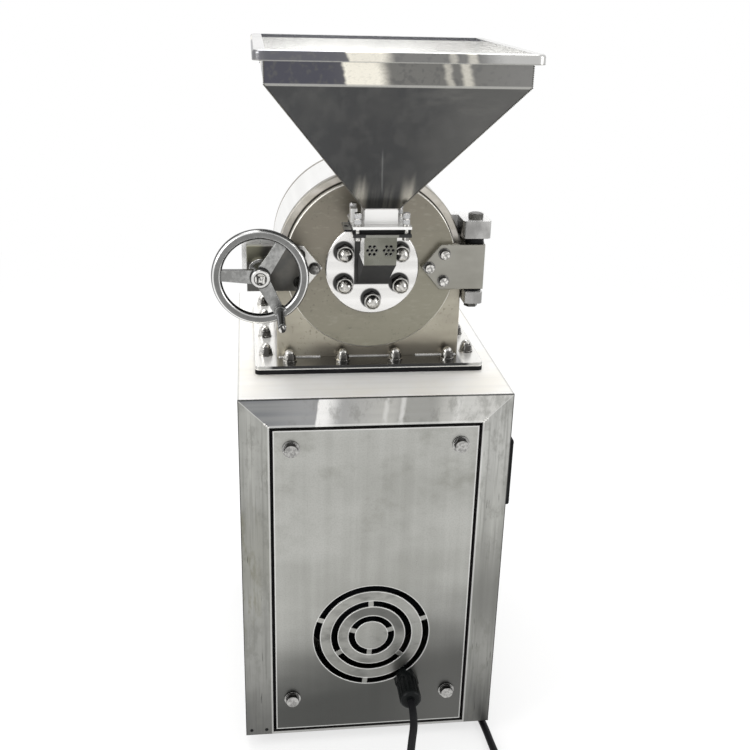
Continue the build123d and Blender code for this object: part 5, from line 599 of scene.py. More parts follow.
def rail_tone(where, x, z, streaks):
    along = x + (swing(noise(where, (30.0, 30.0, 40.0), 1.0), 0.005) - 0.12 * (z - RAIL_MIDDLE))
    wide_bar = step(along, WINDOW_START, WINDOW_START + 0.003) * step(along, WINDOW_END, WINDOW_END - 0.03)
    bars = sum((strength * near(along, *stripe) for strength, *stripe in THIN_BARS), wide_bar)
    # every tone of the rail is a painted reflection: darker at the left, a dark dip, a bright end and the
    # windows' bars
    return layered(
        blend(step(along, -0.17, -0.10), (0.185, 0.190, 0.200), (0.29, 0.292, 0.297)),
        (step(along, -0.10, 0.02), (0.45, 0.445, 0.42)),
        (0.65 * near(along, 0.06, 0.018, 0.022), (0.25, 0.25, 0.235)),
        (step(along, 0.09, 0.14), (0.58, 0.575, 0.55)),
        (0.5 * step(streaks, 0.4, 0.65), (0.36, 0.36, 0.345)),
        (bars * (0.62 + 0.5 * streaks), (0.90, 0.89, 0.87)),
    )


print("rail with", 1 + len(THIN_BARS), "bars of light")

# %% [markdown]
# The grain turns where a stile meets the rail. Separate objects would show that by themselves, but the
# frame is welded into one piece, so which side of the mitre a point is on is worked out from its distances
# to the two outer edges. The folds inside the opening carry a painted highlight, and the outer arrises a
# dark line of painted shade.

# %% Frame finish
CABINET_HALF = 0.2
CABINET_TOP = 0.615
FOLD_SIDE, FOLD_TOP = 0.1592, 0.5752
ARRIS_SIDE, ARRIS_TOP = 0.1984, 0.6132


def frame_finish(name):
    where = begin(name)
    x, _, z = axes(where)
    aside = abs(x)
    grain, streaks, clouds = brushing(where, UPRIGHT)
    cross_grain, cross_streaks, _ = brushing(where, ACROSS)
    past_mitre = (CABINET_TOP - z) - (CABINET_HALF - aside)
    stile = past(past_mitre, 0.0, 0.0004)
    mitre = near(past_mitre, 0.0, 0.0006, 0.0008)
    # painted highlight on the folds inside the opening
    fold = step(aside, FOLD_SIDE, FOLD_SIDE - 0.0012) * step(z, FOLD_TOP, FOLD_TOP - 0.0014)
    # painted shade along the outer arrises
    arris = most(step(aside, ARRIS_SIDE, ARRIS_SIDE + 0.0008), step(z, ARRIS_TOP, ARRIS_TOP + 0.0010))
    colour = layered(
        blend(stile, rail_tone(where, x, z, cross_streaks), stile_tone(where, x, z, streaks, clouds)),
        (0.42 * patches(where, (46.0, 46.0, 24.0), 0.50, 0.66, 5.0, 0.72), (0.185, 0.185, 0.168)),
        (0.5 * mitre, (0.66, 0.66, 0.64)),
        (0.42 * fold, (0.80, 0.80, 0.78)),
        (0.85 * arris, (0.03, 0.03, 0.03)),
    )
    roughness = 0.34 - 0.14 * (1 - stile) + swing(clouds, 0.14)
    turned_grain = stile * grain + (1 - stile) * cross_grain - 0.8 * mitre
    return finish(name, where, colour, roughness, turned_grain, groove=0.10, edge=0.0014)


node_looks["front_frame"] = frame_finish("frame_steel")
print("frame finish, mitred at", CABINET_TOP, "m")

# %% [markdown]
# ## Cabinet sheets
# Sides and top are one folded sheet. The top faces the light, so it is painted far brighter, with a line of
# painted shade along its folds, and its zone is cut off by height. The sides take painted shade towards the
# floor. A second material would do, but the sheet is one piece and its fold should run on. The rear panel is
# plain sheet, with painted shade on the slanting hoods of its louvres, which are found by how far they face
# up.

# %% Shell and rear panel finishes
FLOOR_SHADE = 0.28
TOP_FOLD = 0.1968
APRON_START, APRON_END = -0.085, -0.125


def shell_finish(name):
    where = begin(name)
    x, y, z = axes(where)
    grain, streaks, clouds = brushing(where, UPRIGHT)
    top_grain, top_streaks, _ = brushing(where, ACROSS)
    # painted shade on the sides towards the floor
    side = layered(
        sheet_tone(streaks, clouds, (0.36, 0.36, 0.34), (0.47, 0.47, 0.447)),
        (0.5 * step(z + swing(clouds, 0.08), FLOOR_SHADE, 0.0), (0.12, 0.12, 0.115)),
    )
    # the top is painted far brighter because it faces the light, with painted shade along its folds
    top = layered(
        blend(step(clouds, 0.40, 0.66), (0.92, 0.915, 0.90), (0.87, 0.845, 0.785)),
        (0.30 * step(0.6 * top_streaks + 0.4 * top_grain, 0.44, 0.64), (0.70, 0.69, 0.665)),
        (0.45 * step(abs(x), TOP_FOLD, TOP_FOLD + 0.0017), (0.30, 0.30, 0.29)),
    )
    upper = step(z, CABINET_TOP - 0.0009, CABINET_TOP - 0.0003)
    apron = upper * step(y, APRON_START, APRON_END)
    roughness = 0.30 + swing(clouds, 0.14) + swing(grain, 0.06) + 0.18 * upper
    metal = 1 - 0.38 * upper - 0.34 * apron
    colour = blend(upper, side, top)
    return finish(name, where, colour, roughness, grain, groove=0.09, edge=0.0014, metal=metal)


def rear_finish(name):
    where = begin(name)
    grain, streaks, clouds = brushing(where, UPRIGHT)
    # painted shade on the hoods of the louvres, where they face up
    painted_hood_shade = step(facings(where)[UPRIGHT], 0.08, 0.35)
    colour = layered(
        sheet_tone(streaks, clouds, (0.36, 0.36, 0.34), (0.50, 0.50, 0.475)),
        (0.85 * painted_hood_shade, (0.10, 0.10, 0.094)),
    )
    roughness = 0.30 + swing(clouds, 0.10) + swing(grain, 0.08) + 0.20 * painted_hood_shade
    return finish(name, where, colour, roughness, grain, groove=0.12, edge=0.0012)


node_looks["cabinet_shell"] = shell_finish("shell_steel")
node_looks["rear_panel"] = rear_finish("rear_steel")
print("cabinet finishes", list(node_looks))

# %% [markdown]
# ## Door and front plate
# The mill's plates are thick, ground by hand and warm in colour beside the cabinet's sheet. The door was
# turned, so very fine rings run round its middle: noise along the distance from the mill's axis gives them,
# which a straight grain could not. The door is painted darker at its upper left and lighter to the lower
# right, with a painted highlight along its rim. The plate behind it has a painted highlight along its arch,
# a painted shadow in the gap round the door, painted shade along its brim, and at its foot a dull painted
# reflection of the bed.

# %% Door and plate finishes
MILL_HEIGHT = 0.776
DOOR_RIM = 0.1261
PLATE_ARCH, PLATE_GAP, PLATE_BRIM = 0.1290, 0.1284, 0.1381


def pits(where, clouds):
    """Small dark pits that gather in clouds."""
    return patches(where, 210.0, 0.58, 0.70, 3.0, 0.6) * step(clouds, 0.42, 0.62)


def door_finish(name):
    where = begin(name)
    x, _, z = axes(where)
    up = z - MILL_HEIGHT
    radius = far(x, up)
    clouds = noise(where, 9.0, 5.0, 0.62)
    wipes = noise(where, (16.0, 16.0, 60.0), 3.0)
    # painted light: darker at the upper left, lighter to the lower right
    lower = step(0.55 * x - up + swing(clouds, 0.06), -0.11, 0.13)
    colour = layered(
        blend(lower, (0.228, 0.208, 0.170), (0.272, 0.260, 0.207)),
        (0.6 * step(0.5 * clouds + 0.5 * wipes, 0.5, 0.68), (0.205, 0.193, 0.157)),
        (0.55 * pits(where, clouds), (0.095, 0.088, 0.070)),
        (0.40 * patches(where, (70.0, 70.0, 190.0), 0.52, 0.74, 3.0, 0.6), (0.345, 0.330, 0.275)),
        # painted highlight along the door's rim
        (0.85 * past(radius, DOOR_RIM, 0.0005), (0.80, 0.78, 0.73)),
    )
    rings = ripples(radius, 1500.0)
    return finish(name, where, colour, 0.36 + swing(clouds, 0.16), rings, groove=0.10, edge=0.0018)


def plate_finish(name):
    where = begin(name)
    x, _, z = axes(where)
    up = z - MILL_HEIGHT
    radius = far(x, up)
    clouds, specks, wipes = grinding(where)
    # painted highlight along the arch
    arch = past(radius, PLATE_ARCH, 0.0010) * step(up + swing(wipes, 0.04), -0.02, 0.03)
    # painted shadow in the gap round the door
    gap = near(radius, PLATE_GAP, 0.0008, 0.0010) * step(up, -0.05, 0.06)
    # painted shade along the brim
    brim = past(radius, PLATE_BRIM, 0.0009) * step(up, -0.01, 0.01)
    # painted reflection of the bed at the foot
    foot = step(up + swing(wipes, 0.010), -0.118, -0.134) * step(x, -0.11, -0.06)
    colour = layered(
        satin_tone(clouds, wipes, (0.350, 0.326, 0.268), (0.455, 0.428, 0.352)),
        (0.55 * pits(where, clouds), (0.12, 0.11, 0.088)),
        (arch * (0.45 + 0.5 * step(wipes, 0.40, 0.62)), (0.68, 0.645, 0.60)),
        (0.9 * gap, (0.020, 0.019, 0.017)),
        (0.6 * brim, (0.14, 0.135, 0.115)),
        (0.70 * foot, (0.125, 0.112, 0.092)),
    )
    roughness = 0.38 + swing(clouds, 0.14) + swing(specks, 0.06)
    return finish(name, where, colour, roughness, specks, groove=0.08, edge=0.0014)


node_looks["door"] = door_finish("door_steel")
node_looks["chamber_front_plate"] = plate_finish("plate_steel")
print("door and plate finishes, rings round", MILL_HEIGHT, "m")

# %% [markdown]
# ## Blocks, leaves and bed
# The clasp leaf takes painted shade behind the handwheel and a painted highlight on its tip. The clamp block
# and the hinge bracket are milled, and carry painted highlights where they face the light. The bed plate has
# painted highlights at its margins and along its front arris, and a painted reflection of the dark chamber in
# front, which is darkest on its front edge. Facing and place tell these zones apart, where a painter would
# use masks.

# %% Clasp, block, leaf and bed finishes
WHEEL_EDGE = -0.104
BED_MARGIN = 0.139
BED_ARRIS = 0.6226


def clasp_finish(name):
    where = begin(name)
    x, _, z = axes(where)
    clouds = noise(where, 22.0, 4.0, 0.6)
    # painted shade where the leaf lies behind the handwheel
    back = layered(
        blend(step(clouds, 0.4, 0.65), (0.098, 0.097, 0.092), (0.135, 0.13, 0.118)),
        (step(x, -0.156, -0.166) * step(z, 0.784, 0.790), (0.185, 0.180, 0.135)),
    )
    # painted highlight on the tip
    tip = blend(clouds, (0.86, 0.85, 0.82), (0.62, 0.61, 0.58))
    colour = blend(step(x, WHEEL_EDGE - 0.006, WHEEL_EDGE + 0.004), back, tip)
    return finish(name, where, colour, 0.30 + swing(clouds, 0.12), clouds, groove=0.05, edge=0.0012)


def milled_steel(name, front):
    """A milled block with a painted highlight on top, and also in front if that is 1."""
    where = begin(name)
    _, faces_back, faces_up = facings(where)
    clouds = noise(where, (26.0, 26.0, 14.0), 4.0, 0.6)
    # painted highlight where the block faces up, or also forward
    bright = step(most(faces_up, -front * faces_back), 0.75, 0.9)
    colour = layered(
        blend(step(clouds, 0.36, 0.64), (0.285, 0.281, 0.272), (0.48, 0.474, 0.462)),
        (bright, (0.90, 0.895, 0.88)),
    )
    roughness = 0.26 + swing(clouds, 0.12)
    metal = 1 - 0.45 * bright
    return finish(name, where, colour, roughness, clouds, groove=0.06, edge=0.0016, metal=metal)


def bed_finish(name):
    where = begin(name)
    x, y, z = axes(where)
    grain, _, clouds = brushing(where, ACROSS)
    margin = step(abs(x), BED_MARGIN, BED_MARGIN + 0.005)
    edge = step(abs(facings(where)[UPRIGHT]), 0.5, 0.4)
    # painted highlights along the front arris and towards the ends of the front edge
    lit = most(near(z, BED_ARRIS, 0.0007, 0.0005), 0.62 * step(abs(x), 0.146, 0.156))
    colour = layered(
        # painted reflection of the dark chamber on the front part of the bed
        blend(step(y, -0.075, -0.03), (0.20, 0.20, 0.205), (0.72, 0.70, 0.66)),
        (0.6 * step(clouds, 0.4, 0.62), (0.42, 0.41, 0.38)),
        # painted highlight at the margins
        (margin, (0.90, 0.89, 0.86)),
        # painted dark reflection on the front edge, under the painted highlights
        (edge, blend(lit, (0.016, 0.016, 0.017), (0.80, 0.80, 0.79))),
    )
    roughness = 0.24 + swing(clouds, 0.12)
    metal = 1 - 0.45 * margin * (1 - edge) - 0.8 * edge * (1 - lit)
    return finish(name, where, colour, roughness, grain, groove=0.08, edge=0.001, metal=metal)


node_looks["clasp_leaf"] = clasp_finish("clasp_steel")
node_looks["clamp_block"] = milled_steel("clamp_steel", 1.0)
node_looks["hinge_bracket"] = milled_steel("bracket_steel", 0.0)
node_looks["hinge_leaf"] = satin_steel("leaf_steel", (0.345, 0.336, 0.30), (0.265, 0.257, 0.226), 0.30,
                                       edge=0.0016)
node_looks["bed_plate"] = bed_finish("bed_steel")
print("block, leaf and bed finishes, bed margins from", BED_MARGIN, "m")

# %% [markdown]
# ## Drum and feed flange
# The drum is polished and is painted near white on top and on the left, where it catches the ceiling. Its
# lower part and right flank face the dim side of a room and take painted shade, which keeps them grey. The
# feed flange is bright too, with painted dark reflections round its dome nuts and beside the chute. The six
# nuts mirror each other about the flange's middle, so folding the coordinates with two absolute values
# leaves only two of them to draw.

# %% Drum and flange finishes
FLANGE_ASIDE, FLANGE_ABOVE = -0.0016, 0.0020
SIDE_NUT = (0.0411, 0.02375)
MID_NUT = 0.0475


def drum_finish(name):
    where = begin(name)
    x, _, z = axes(where)
    grain, streaks, clouds = brushing(where, AWAY)
    # painted shade on the lower part and the right flank
    flank = step(z - MILL_HEIGHT + swing(clouds, 0.03), 0.03, -0.05)
    right = step(x + swing(clouds, 0.03), -0.01, 0.075)
    # painted light: the sheet is near white where the drum catches the ceiling
    colour = layered(
        sheet_tone(streaks, clouds, (0.85, 0.845, 0.83), (0.95, 0.945, 0.93)),
        (most(flank, right) * (0.62 + 0.34 * streaks), (0.32, 0.316, 0.30)),
    )
    roughness = 0.30 + swing(clouds, 0.10) + swing(grain, 0.08)
    return finish(name, where, colour, roughness, grain, groove=0.12, edge=0.0018)


def flange_finish(name):
    where = begin(name)
    x, _, z = axes(where)
    grain, streaks, clouds = brushing(where, ACROSS)
    aside = abs(x - FLANGE_ASIDE)
    above = abs(z - MILL_HEIGHT - FLANGE_ABOVE)
    from_nut = least(far(aside - SIDE_NUT[0], above - SIDE_NUT[1]), far(aside, above - MID_NUT))
    # painted dark reflections round the dome nuts and beside the chute
    behind_chute = step(abs(x), 0.0275, 0.0262) * step(z, 0.7515, 0.7525)
    painted_dark_reflection = most(step(from_nut, 0.0166, 0.0140), behind_chute)
    colour = layered(
        sheet_tone(streaks, clouds, (0.70, 0.69, 0.67), (0.92, 0.91, 0.89)),
        (0.95 * painted_dark_reflection, (0.014, 0.014, 0.013)),
    )
    roughness = 0.24 + swing(clouds, 0.10) + swing(grain, 0.08) + 0.35 * painted_dark_reflection
    return finish(name, where, colour, roughness, grain, groove=0.12, edge=0.0012, metal=1 - 0.9 * painted_dark_reflection)


node_looks["chamber_shell"] = drum_finish("drum_steel")
node_looks["feed_flange"] = flange_finish("flange_steel")
print("drum and flange finishes, nuts at", SIDE_NUT, MID_NUT)

# %% [markdown]
# ## Hopper
# The hopper's slanting sides face the floor and are painted dark as its reflection, lighter to the right,
# with faint bands, a wiped patch and painted glints close to the neck. Its upright band and rolled lip mirror
# the room in bars of light. Real mirroring would show the white stage instead of a room, so both tones are
# painted reflections laid on by place: the bars slant, and run on round the corners.

# %% Tones of the hopper's outside
BAND_MIDDLE = 1.07
LIP_FOOT = 1.083
SEAM_TONE = (0.46, 0.455, 0.43)


def slope_tone(where, x, z, along_side, streaks):
    bands = noise(where, (22.0, 22.0, 2.0))
    wiped = step(x, -0.02, 0.07) * step(z, 0.97, 1.03)
    smear = patches(where, (11.0, 11.0, 34.0), 0.48, 0.70, 4.0, 0.62) * wiped
    bars = ripples(along_side, 190.0)
    at_neck = 0.16 * step(bars, 0.40, 0.72) + near(abs(along_side), 0.025, 0.001, 0.009)
    # painted glints close to the neck
    glint = step(z + swing(bars, 0.03), 0.940, 0.884) * at_neck
    # painted reflection of the floor: dark, lighter to the right
    return layered(
        blend(step(x + swing(bands, 0.06), 0.0, 0.11), (0.070, 0.071, 0.072), (0.112, 0.111, 0.107)),
        (0.5 * step(bands, 0.45, 0.65), (0.092, 0.092, 0.090)),
        (0.30 * step(streaks, 0.46, 0.66), (0.120, 0.119, 0.116)),
        (0.60 * smear, (0.165, 0.162, 0.152)),
        (0.8 * least(glint, 1.0), (0.80, 0.76, 0.66)),
    )


def band_tone(where, x, depth, z):
    wobble = swing(noise(where, (60.0, 60.0, 160.0), 1.0), 0.006)
    slant = x + 0.5 * depth + 0.22 * (z - BAND_MIDDLE) + wobble
    crackle = noise(where, (210.0, 210.0, 420.0), 3.0, 0.65)
    bars = step(slant, -0.147, -0.142) * step(slant, -0.088, -0.108)
    bars = bars + 0.4 * near(slant, -0.022, 0.001, 0.006) + 0.55 * near(slant, 0.0, 0.002, 0.007)
    lip = step(z, LIP_FOOT, LIP_FOOT + 0.002)
    lip_end = most(step(slant + swing(crackle, 0.012), 0.004, 0.042), 0.22 * step(slant, -0.234, -0.250))
    # painted reflections of the room: dark at the left, lighter to the right, bars of light and bright ends
    # to the lip
    return layered(
        blend(step(slant, -0.17, -0.09), (0.088, 0.088, 0.106), (0.185, 0.182, 0.172)),
        (0.6 * patches(where, 160.0, 0.5, 0.66, 3.0), (0.128, 0.127, 0.125)),
        (0.7 * step(slant, -0.03, 0.09), (0.25, 0.247, 0.24)),
        (bars * (0.66 + 0.7 * crackle), (0.92, 0.88, 0.77)),
        (0.14 * lip, (0.42, 0.42, 0.43)),
        (0.75 * lip * lip_end, (0.60, 0.595, 0.58)),
        (0.7 * near(z, LIP_FOOT, 0.0006, 0.0010), SEAM_TONE),
    )


print("hopper tones, lip from", LIP_FOOT, "m")

# %% [markdown]
# The whole hopper adds a neck with painted highlights where it faces left and front, and an inside painted
# bright as if lit. Two materials on two sets of faces would need a change to the CAD mesh, so heights in the
# object's own coordinates tell slope, band and neck apart, and the sign of the normal's outward part tells
# the inside from the outside.

# %% Hopper finish
HOPPER_MIDDLE = -0.157
NECK_TOP = 0.8835
BAND_FOOT = 1.056
RIM_FOOT = 1.0900
ZONE_EDGE = 0.0004


def hopper_finish(name):
    where = begin(name)
    x, y, z = axes(where)
    depth = y - HOPPER_MIDDLE
    faces_right, faces_back, faces_up = facings(where)
    grain, streaks, clouds = brushing(where, UPRIGHT)
    along_side = x * abs(faces_back) + depth * abs(faces_right)
    slope = slope_tone(where, x, z, along_side, streaks)
    drip = near(x + 0.11 * (z - 0.90), -0.002, 0.0003, 0.0014) * near(z, 0.940, 0.016, 0.024)
    neck = past(z, NECK_TOP, -ZONE_EDGE)
    # painted highlights on the neck where it faces left and front
    neck_tone = layered(
        blend(step(clouds, 0.40, 0.62), (0.34, 0.338, 0.33), (0.56, 0.555, 0.54)),
        (step(faces_right, 0.5, -0.5), (0.74, 0.735, 0.72)),
        (step(faces_back, -0.5, -0.8), (0.92, 0.915, 0.90)),
    )
    outward = faces_right * x + faces_back * depth
    inside = most(step(outward, -0.002, -0.006), step(faces_up, 0.8, 0.9) * step(z, 1.0, 1.05))
    rear_rim = step(z, RIM_FOOT, RIM_FOOT + 0.0012) * step(faces_back, -0.5, -0.8) * step(depth, 0.0, 0.1)
    # the inside is painted bright as if lit
    inside_tone = layered(
        blend(step(clouds, 0.38, 0.64), (0.60, 0.60, 0.59), (0.74, 0.735, 0.725)),
        (0.9 * rear_rim, (0.075, 0.078, 0.092)),
    )
    colour = layered(
        blend(past(z, BAND_FOOT, ZONE_EDGE), slope, band_tone(where, x, depth, z)),
        (0.22 * (drip * step(faces_back, -0.2, -0.5)), (0.42, 0.42, 0.41)),
        (0.75 * near(z, BAND_FOOT, 0.0010, 0.0010), SEAM_TONE),
        (neck, neck_tone),
        (inside, inside_tone),
    )
    roughness = 0.24 + swing(clouds, 0.10) + swing(grain, 0.06)
    return finish(name, where, colour, roughness, grain, groove=0.09, edge=0.0014, metal=1 - 0.4 * neck)


node_looks["hopper"] = hopper_finish("hopper_sheet")
print("hopper finish, band from", BAND_FOOT, "m")

# %% [markdown]
# ## Chute and gate
# The chute under the gate is small but in the middle of the picture: a greenish front with two clusters of
# holes, a painted highlight on its left cheek and flange, and a floor that slants back into the dark, which
# takes painted shade like the gate's guides and the flange's ends. The rims of the holes take painted shade,
# so that they read as boldly as in the photograph. Their places come from folding the coordinates, as on the
# flange. The gate shows only an edge of painted shade.

# %% Chute and gate finishes
CHUTE_KNEE = 0.804
CHUTE_FRONT = -0.180
FLANGE_FOOT = 0.8464
GUIDE_HEIGHT = 0.8545
HOLES_ASIDE, HOLES_HEIGHT = 0.0115, 0.825
HOLE_PITCH, HOLE_ROW = 0.0061, 0.00528


def chute_finish(name):
    where = begin(name)
    x, y, z = axes(where)
    faces_right, faces_back, faces_up = facings(where)
    clouds = noise(where, 30.0, 4.0, 0.6)
    front = step(faces_back, -0.35, -0.45)
    wall = blend(step(clouds, 0.35, 0.65), (0.165, 0.165, 0.138), (0.215, 0.215, 0.185))
    # painted highlight on the left cheek, the right one greyer
    cheek = blend(step(faces_right, 0.5, 0.8), (0.92, 0.915, 0.90), (0.42, 0.418, 0.405))
    # painted highlight on the chute's flange, away from its front
    flange = step(z, FLANGE_FOOT, FLANGE_FOOT + 0.0005)
    flange_end = flange * front * step(abs(x), 0.0222, 0.0228)
    # painted shade under the knee, in the gate's guides, on the flange's ends and round and inside the holes
    under = past(z, CHUTE_KNEE, -0.0006) * step(faces_up, 0.2, 0.0)
    guide = near(z, GUIDE_HEIGHT, 0.0036, 0.0003)
    aside = abs(abs(x) - HOLES_ASIDE)
    above = abs(z - HOLES_HEIGHT)
    from_hole = least(far(aside, above), far(aside - HOLE_PITCH, above),
                      far(aside - HOLE_PITCH / 2, above - HOLE_ROW))
    within = step(y, CHUTE_FRONT + 0.0008, CHUTE_FRONT + 0.0016) * step(z, 0.846, 0.845)
    rims = front * most(within, step(from_hole, 0.0026, 0.0021))
    black = most(under, guide, flange_end, rims)
    colour = layered(
        blend(front, cheek, wall),
        (flange * (1 - 0.9 * front), (0.86, 0.855, 0.84)),
        (black, (0.012, 0.012, 0.012)),
    )
    roughness = 0.26 + swing(clouds, 0.12) + 0.45 * black
    metal = 1 - black - 0.65 * (1 - front) * (1 - black)
    return finish(name, where, colour, roughness, clouds, groove=0.05, edge=0.001, metal=metal)


def gate_finish(name):
    where = begin(name)
    grain, streaks, clouds = brushing(where, ACROSS)
    flat = blend(step(streaks, 0.35, 0.65), (0.50, 0.50, 0.49), (0.72, 0.72, 0.70))
    # painted shade on the edges
    colour = blend(step(abs(facings(where)[UPRIGHT]), 0.6, 0.4), flat, (0.022, 0.022, 0.023))
    return finish(name, where, colour, 0.28 + swing(clouds, 0.1), grain, groove=0.08, edge=0.0006)


node_looks["feed_chute"] = chute_finish("chute_sheet")
node_looks["slide_gate"] = gate_finish("gate_sheet")
print("chute and gate finishes, holes", HOLE_PITCH, "m apart")

# %% [markdown]
# ## Handwheel
# The handwheel is dull chrome: its spokes are mottled, and it is painted with light and shade: dark sides, a
# darker reflection on the rim's front, bright highlights on the rim's shoulders and the hub's face, and dark
# rings of shade that part the hub from the squared end of the screw. The wheel was turned, so rim and rings
# follow from the distance to its axis, where painted masks would need an unwrapped mesh. The spindles are
# dark steel with bright patches.

# %% Wheel and spindle finishes
WHEEL_MIDDLE = -0.164
RIM_INSIDE, HUB_OUTSIDE = 0.0545, 0.0135
OUTER_SHOULDER, INNER_SHOULDER = 0.0662, 0.0574
HUB_RING, SCREW_RING = 0.0142, 0.0086


def wheel_finish(name):
    where = begin(name)
    x, _, z = axes(where)
    radius = far(x - WHEEL_MIDDLE, z - MILL_HEIGHT)
    clouds = noise(where, 30.0, 4.0, 0.6)
    specks = noise(where, 190.0, 3.0)
    # painted shade on the sides
    front = step(abs(facings(where)[AWAY]), 0.30, 0.92)
    face = blend(step(0.6 * clouds + 0.4 * specks, 0.36, 0.64), (0.245, 0.245, 0.238), (0.43, 0.43, 0.42))
    # a painted reflection darkens the rim's front
    rim = past(radius, RIM_INSIDE, 0.0010)
    # painted highlights on the rim's shoulders
    shoulders = 0.9 * near(radius, OUTER_SHOULDER, 0.0004, 0.0012)
    shoulders = shoulders + 0.5 * near(radius, INNER_SHOULDER, 0.0003, 0.0010)
    # painted shade in the rings round the hub and the screw's end
    rings = near(radius, HUB_RING, 0.0006, 0.0008) + near(radius, SCREW_RING, 0.0004, 0.0006)
    colour = layered(
        blend(front, (0.060, 0.060, 0.060), face),
        (0.75 * rim * front, (0.150, 0.150, 0.148)),
        (shoulders * rim, (0.92, 0.92, 0.91)),
        # painted highlight on the hub's face
        (0.8 * past(radius, HUB_OUTSIDE, -0.0003) * front, (0.82, 0.81, 0.79)),
        (0.9 * rings, (0.025, 0.025, 0.025)),
    )
    return finish(name, where, colour, 0.22 + swing(clouds, 0.14), specks, groove=0.05, edge=0.0012)


def spindle_finish(name):
    where = begin(name)
    specks = noise(where, 330.0, 3.0)
    marks = patches(where, (200.0, 200.0, 90.0), 0.44, 0.56)
    colour = blend(marks, (0.045, 0.044, 0.042), (0.74, 0.73, 0.70))
    return finish(name, where, colour, 0.20 + swing(specks, 0.12), specks, groove=0.05, edge=0.0006)


slot_looks = {"wheel_chrome": wheel_finish("wheel_chrome")}
node_looks["wheel_spindles"] = spindle_finish("spindle_steel")
print("wheel finish, rim from", RIM_INSIDE, "m")

# %% [markdown]
# ## Fasteners
# Nuts and bolt heads catch the ceiling on their ends, so each kind is told which way its ends face, and takes
# a painted highlight there and painted shade on its flats. One finish for all would do in a plain light. Here
# the bed's nuts stand upright in full light, with a painted highlight on their left flats too, the panel's
# bolts are greyer, and the door's bolts take painted shade on their washers, and on their heads too on the
# side that lies in the shade of the wheel.

# %% Fastener finishes
WASHER_FRONT = -0.0940
NUT_FLATS = (0.030, 0.029, 0.028)


def door_bolt_finish(name):
    where = begin(name)
    x, y, _ = axes(where)
    specks = noise(where, 260.0, 3.0)
    # painted highlight on the ends in front of the washers; washers and flats take painted shade
    end = step(abs(facings(where)[AWAY]), 0.15, 0.85) * past(y, WASHER_FRONT, -0.0003)
    # painted shade on the heads behind the wheel
    head = blend(step(x, -0.09, -0.07), (0.10, 0.098, 0.092), (0.80, 0.785, 0.75))
    colour = blend(end * (0.35 + 0.65 * step(specks, 0.40, 0.60)), (0.035, 0.034, 0.032), head)
    return finish(name, where, colour, 0.2 + swing(specks, 0.12), specks, groove=0.05, edge=0.0006)


slot_looks["fastener_steel"] = turned_steel("fastener_steel", AWAY, (0.66, 0.645, 0.61), NUT_FLATS)
node_looks["door_bolts"] = door_bolt_finish("door_bolt_steel")
node_looks["panel_bolts"] = turned_steel("panel_bolt_steel", AWAY, (0.47, 0.465, 0.45), NUT_FLATS)
node_looks["bed_bolts"] = turned_steel("bed_nut_steel", UPRIGHT, (0.92, 0.90, 0.86), (0.075, 0.072, 0.068),
                                       lit_left=0.85)
node_looks["hinge_pin"] = satin_steel("pin_steel", (0.14, 0.138, 0.13), (0.05, 0.049, 0.046), 0.28, 0.0006)
print(len(node_looks), "pieces have a finish of their own")

# %% [markdown]
# ## Everything else
# All other pieces take the finish of their material slot. Each could be a call of its own, but as rows they
# are easy to compare: a light tone, a dark tone and a roughness, with the grain's axis first for brushed
# sheet, and the waves and depth of the skin last for moulded pieces. What lies out of the light, such as
# the motor behind its slots, is painted nearly black, as painted shade. The finishes go into the CAD objects'
# material slots, and their meshes stay as they are.

# %% Finishes by slot
BRUSHED = {
    "cabinet_steel": (UPRIGHT, (0.50, 0.50, 0.475), (0.36, 0.36, 0.34), 0.30),
    "bright_steel": (ACROSS, (0.90, 0.89, 0.87), (0.66, 0.65, 0.63), 0.24),
}
SATIN = {
    "mill_steel": ((0.38, 0.355, 0.30), (0.27, 0.25, 0.21), 0.38),
    "tool_steel": ((0.36, 0.36, 0.36), (0.24, 0.24, 0.245), 0.32),
    "bearing_steel": ((0.62, 0.62, 0.62), (0.5, 0.5, 0.5), 0.14),
}
MOULDED = {
    "housing_iron": ((0.22, 0.235, 0.25), (0.15, 0.16, 0.17), 0.5, 500.0, 0.3),
    "belt_rubber": ((0.045, 0.043, 0.042), (0.02, 0.02, 0.02), 0.75, 1500.0, 0.25),
    "green_plastic": ((0.03, 0.34, 0.10), (0.022, 0.26, 0.075), 0.30, 900.0, 0.03),
    "red_plastic": ((0.56, 0.028, 0.022), (0.44, 0.02, 0.016), 0.30, 900.0, 0.03),
}
DULL_BLACK_AND_SHADE = {
    # the motor's near black is painted shade for the dark inside of the cabinet
    "motor_paint": ((0.016, 0.018, 0.021), (0.010, 0.012, 0.014), 0.55, 600.0, 0.12),
    "black_rubber": ((0.012, 0.012, 0.013), (0.006, 0.006, 0.007), 0.50, 700.0, 0.15),
    "black_plastic": ((0.010, 0.011, 0.011), (0.005, 0.006, 0.006), 0.26, 1200.0, 0.02),
}
FAINT_GLOSS = {"Specular IOR Level": 0.1}
for name, row in BRUSHED.items():
    slot_looks[name] = brushed_steel(name, *row)
for name, row in SATIN.items():
    slot_looks[name] = satin_steel(name, *row)
for name, row in MOULDED.items():
    slot_looks[name] = moulded(name, *row)
for name, row in DULL_BLACK_AND_SHADE.items():
    slot_looks[name] = moulded(name, *row, **FAINT_GLOSS)
for row in frame["record"]["subparts"]:
    look = node_looks.get(row["node"]) or slot_looks[row["material_slot"]]
    dressed = nodes[row["node"]].data.materials
    dressed.clear()
    dressed.append(look)
lead.data.materials.append(slot_looks["black_rubber"])
print(len(bpy.data.materials), "finishes")

# %% [markdown]
# ## Modelling tools
# The CAD model stops where a shape no longer matters to a machine: it has no welds, no knurls and no screws
# in covers. They are modelled below as by hand, from primitives, edit mode and modifiers. A few steps come
# back for each piece, so they are kept here: taking one object up alone, fixing its modifiers and place in
# its mesh, joining parts, and copying what repeats.

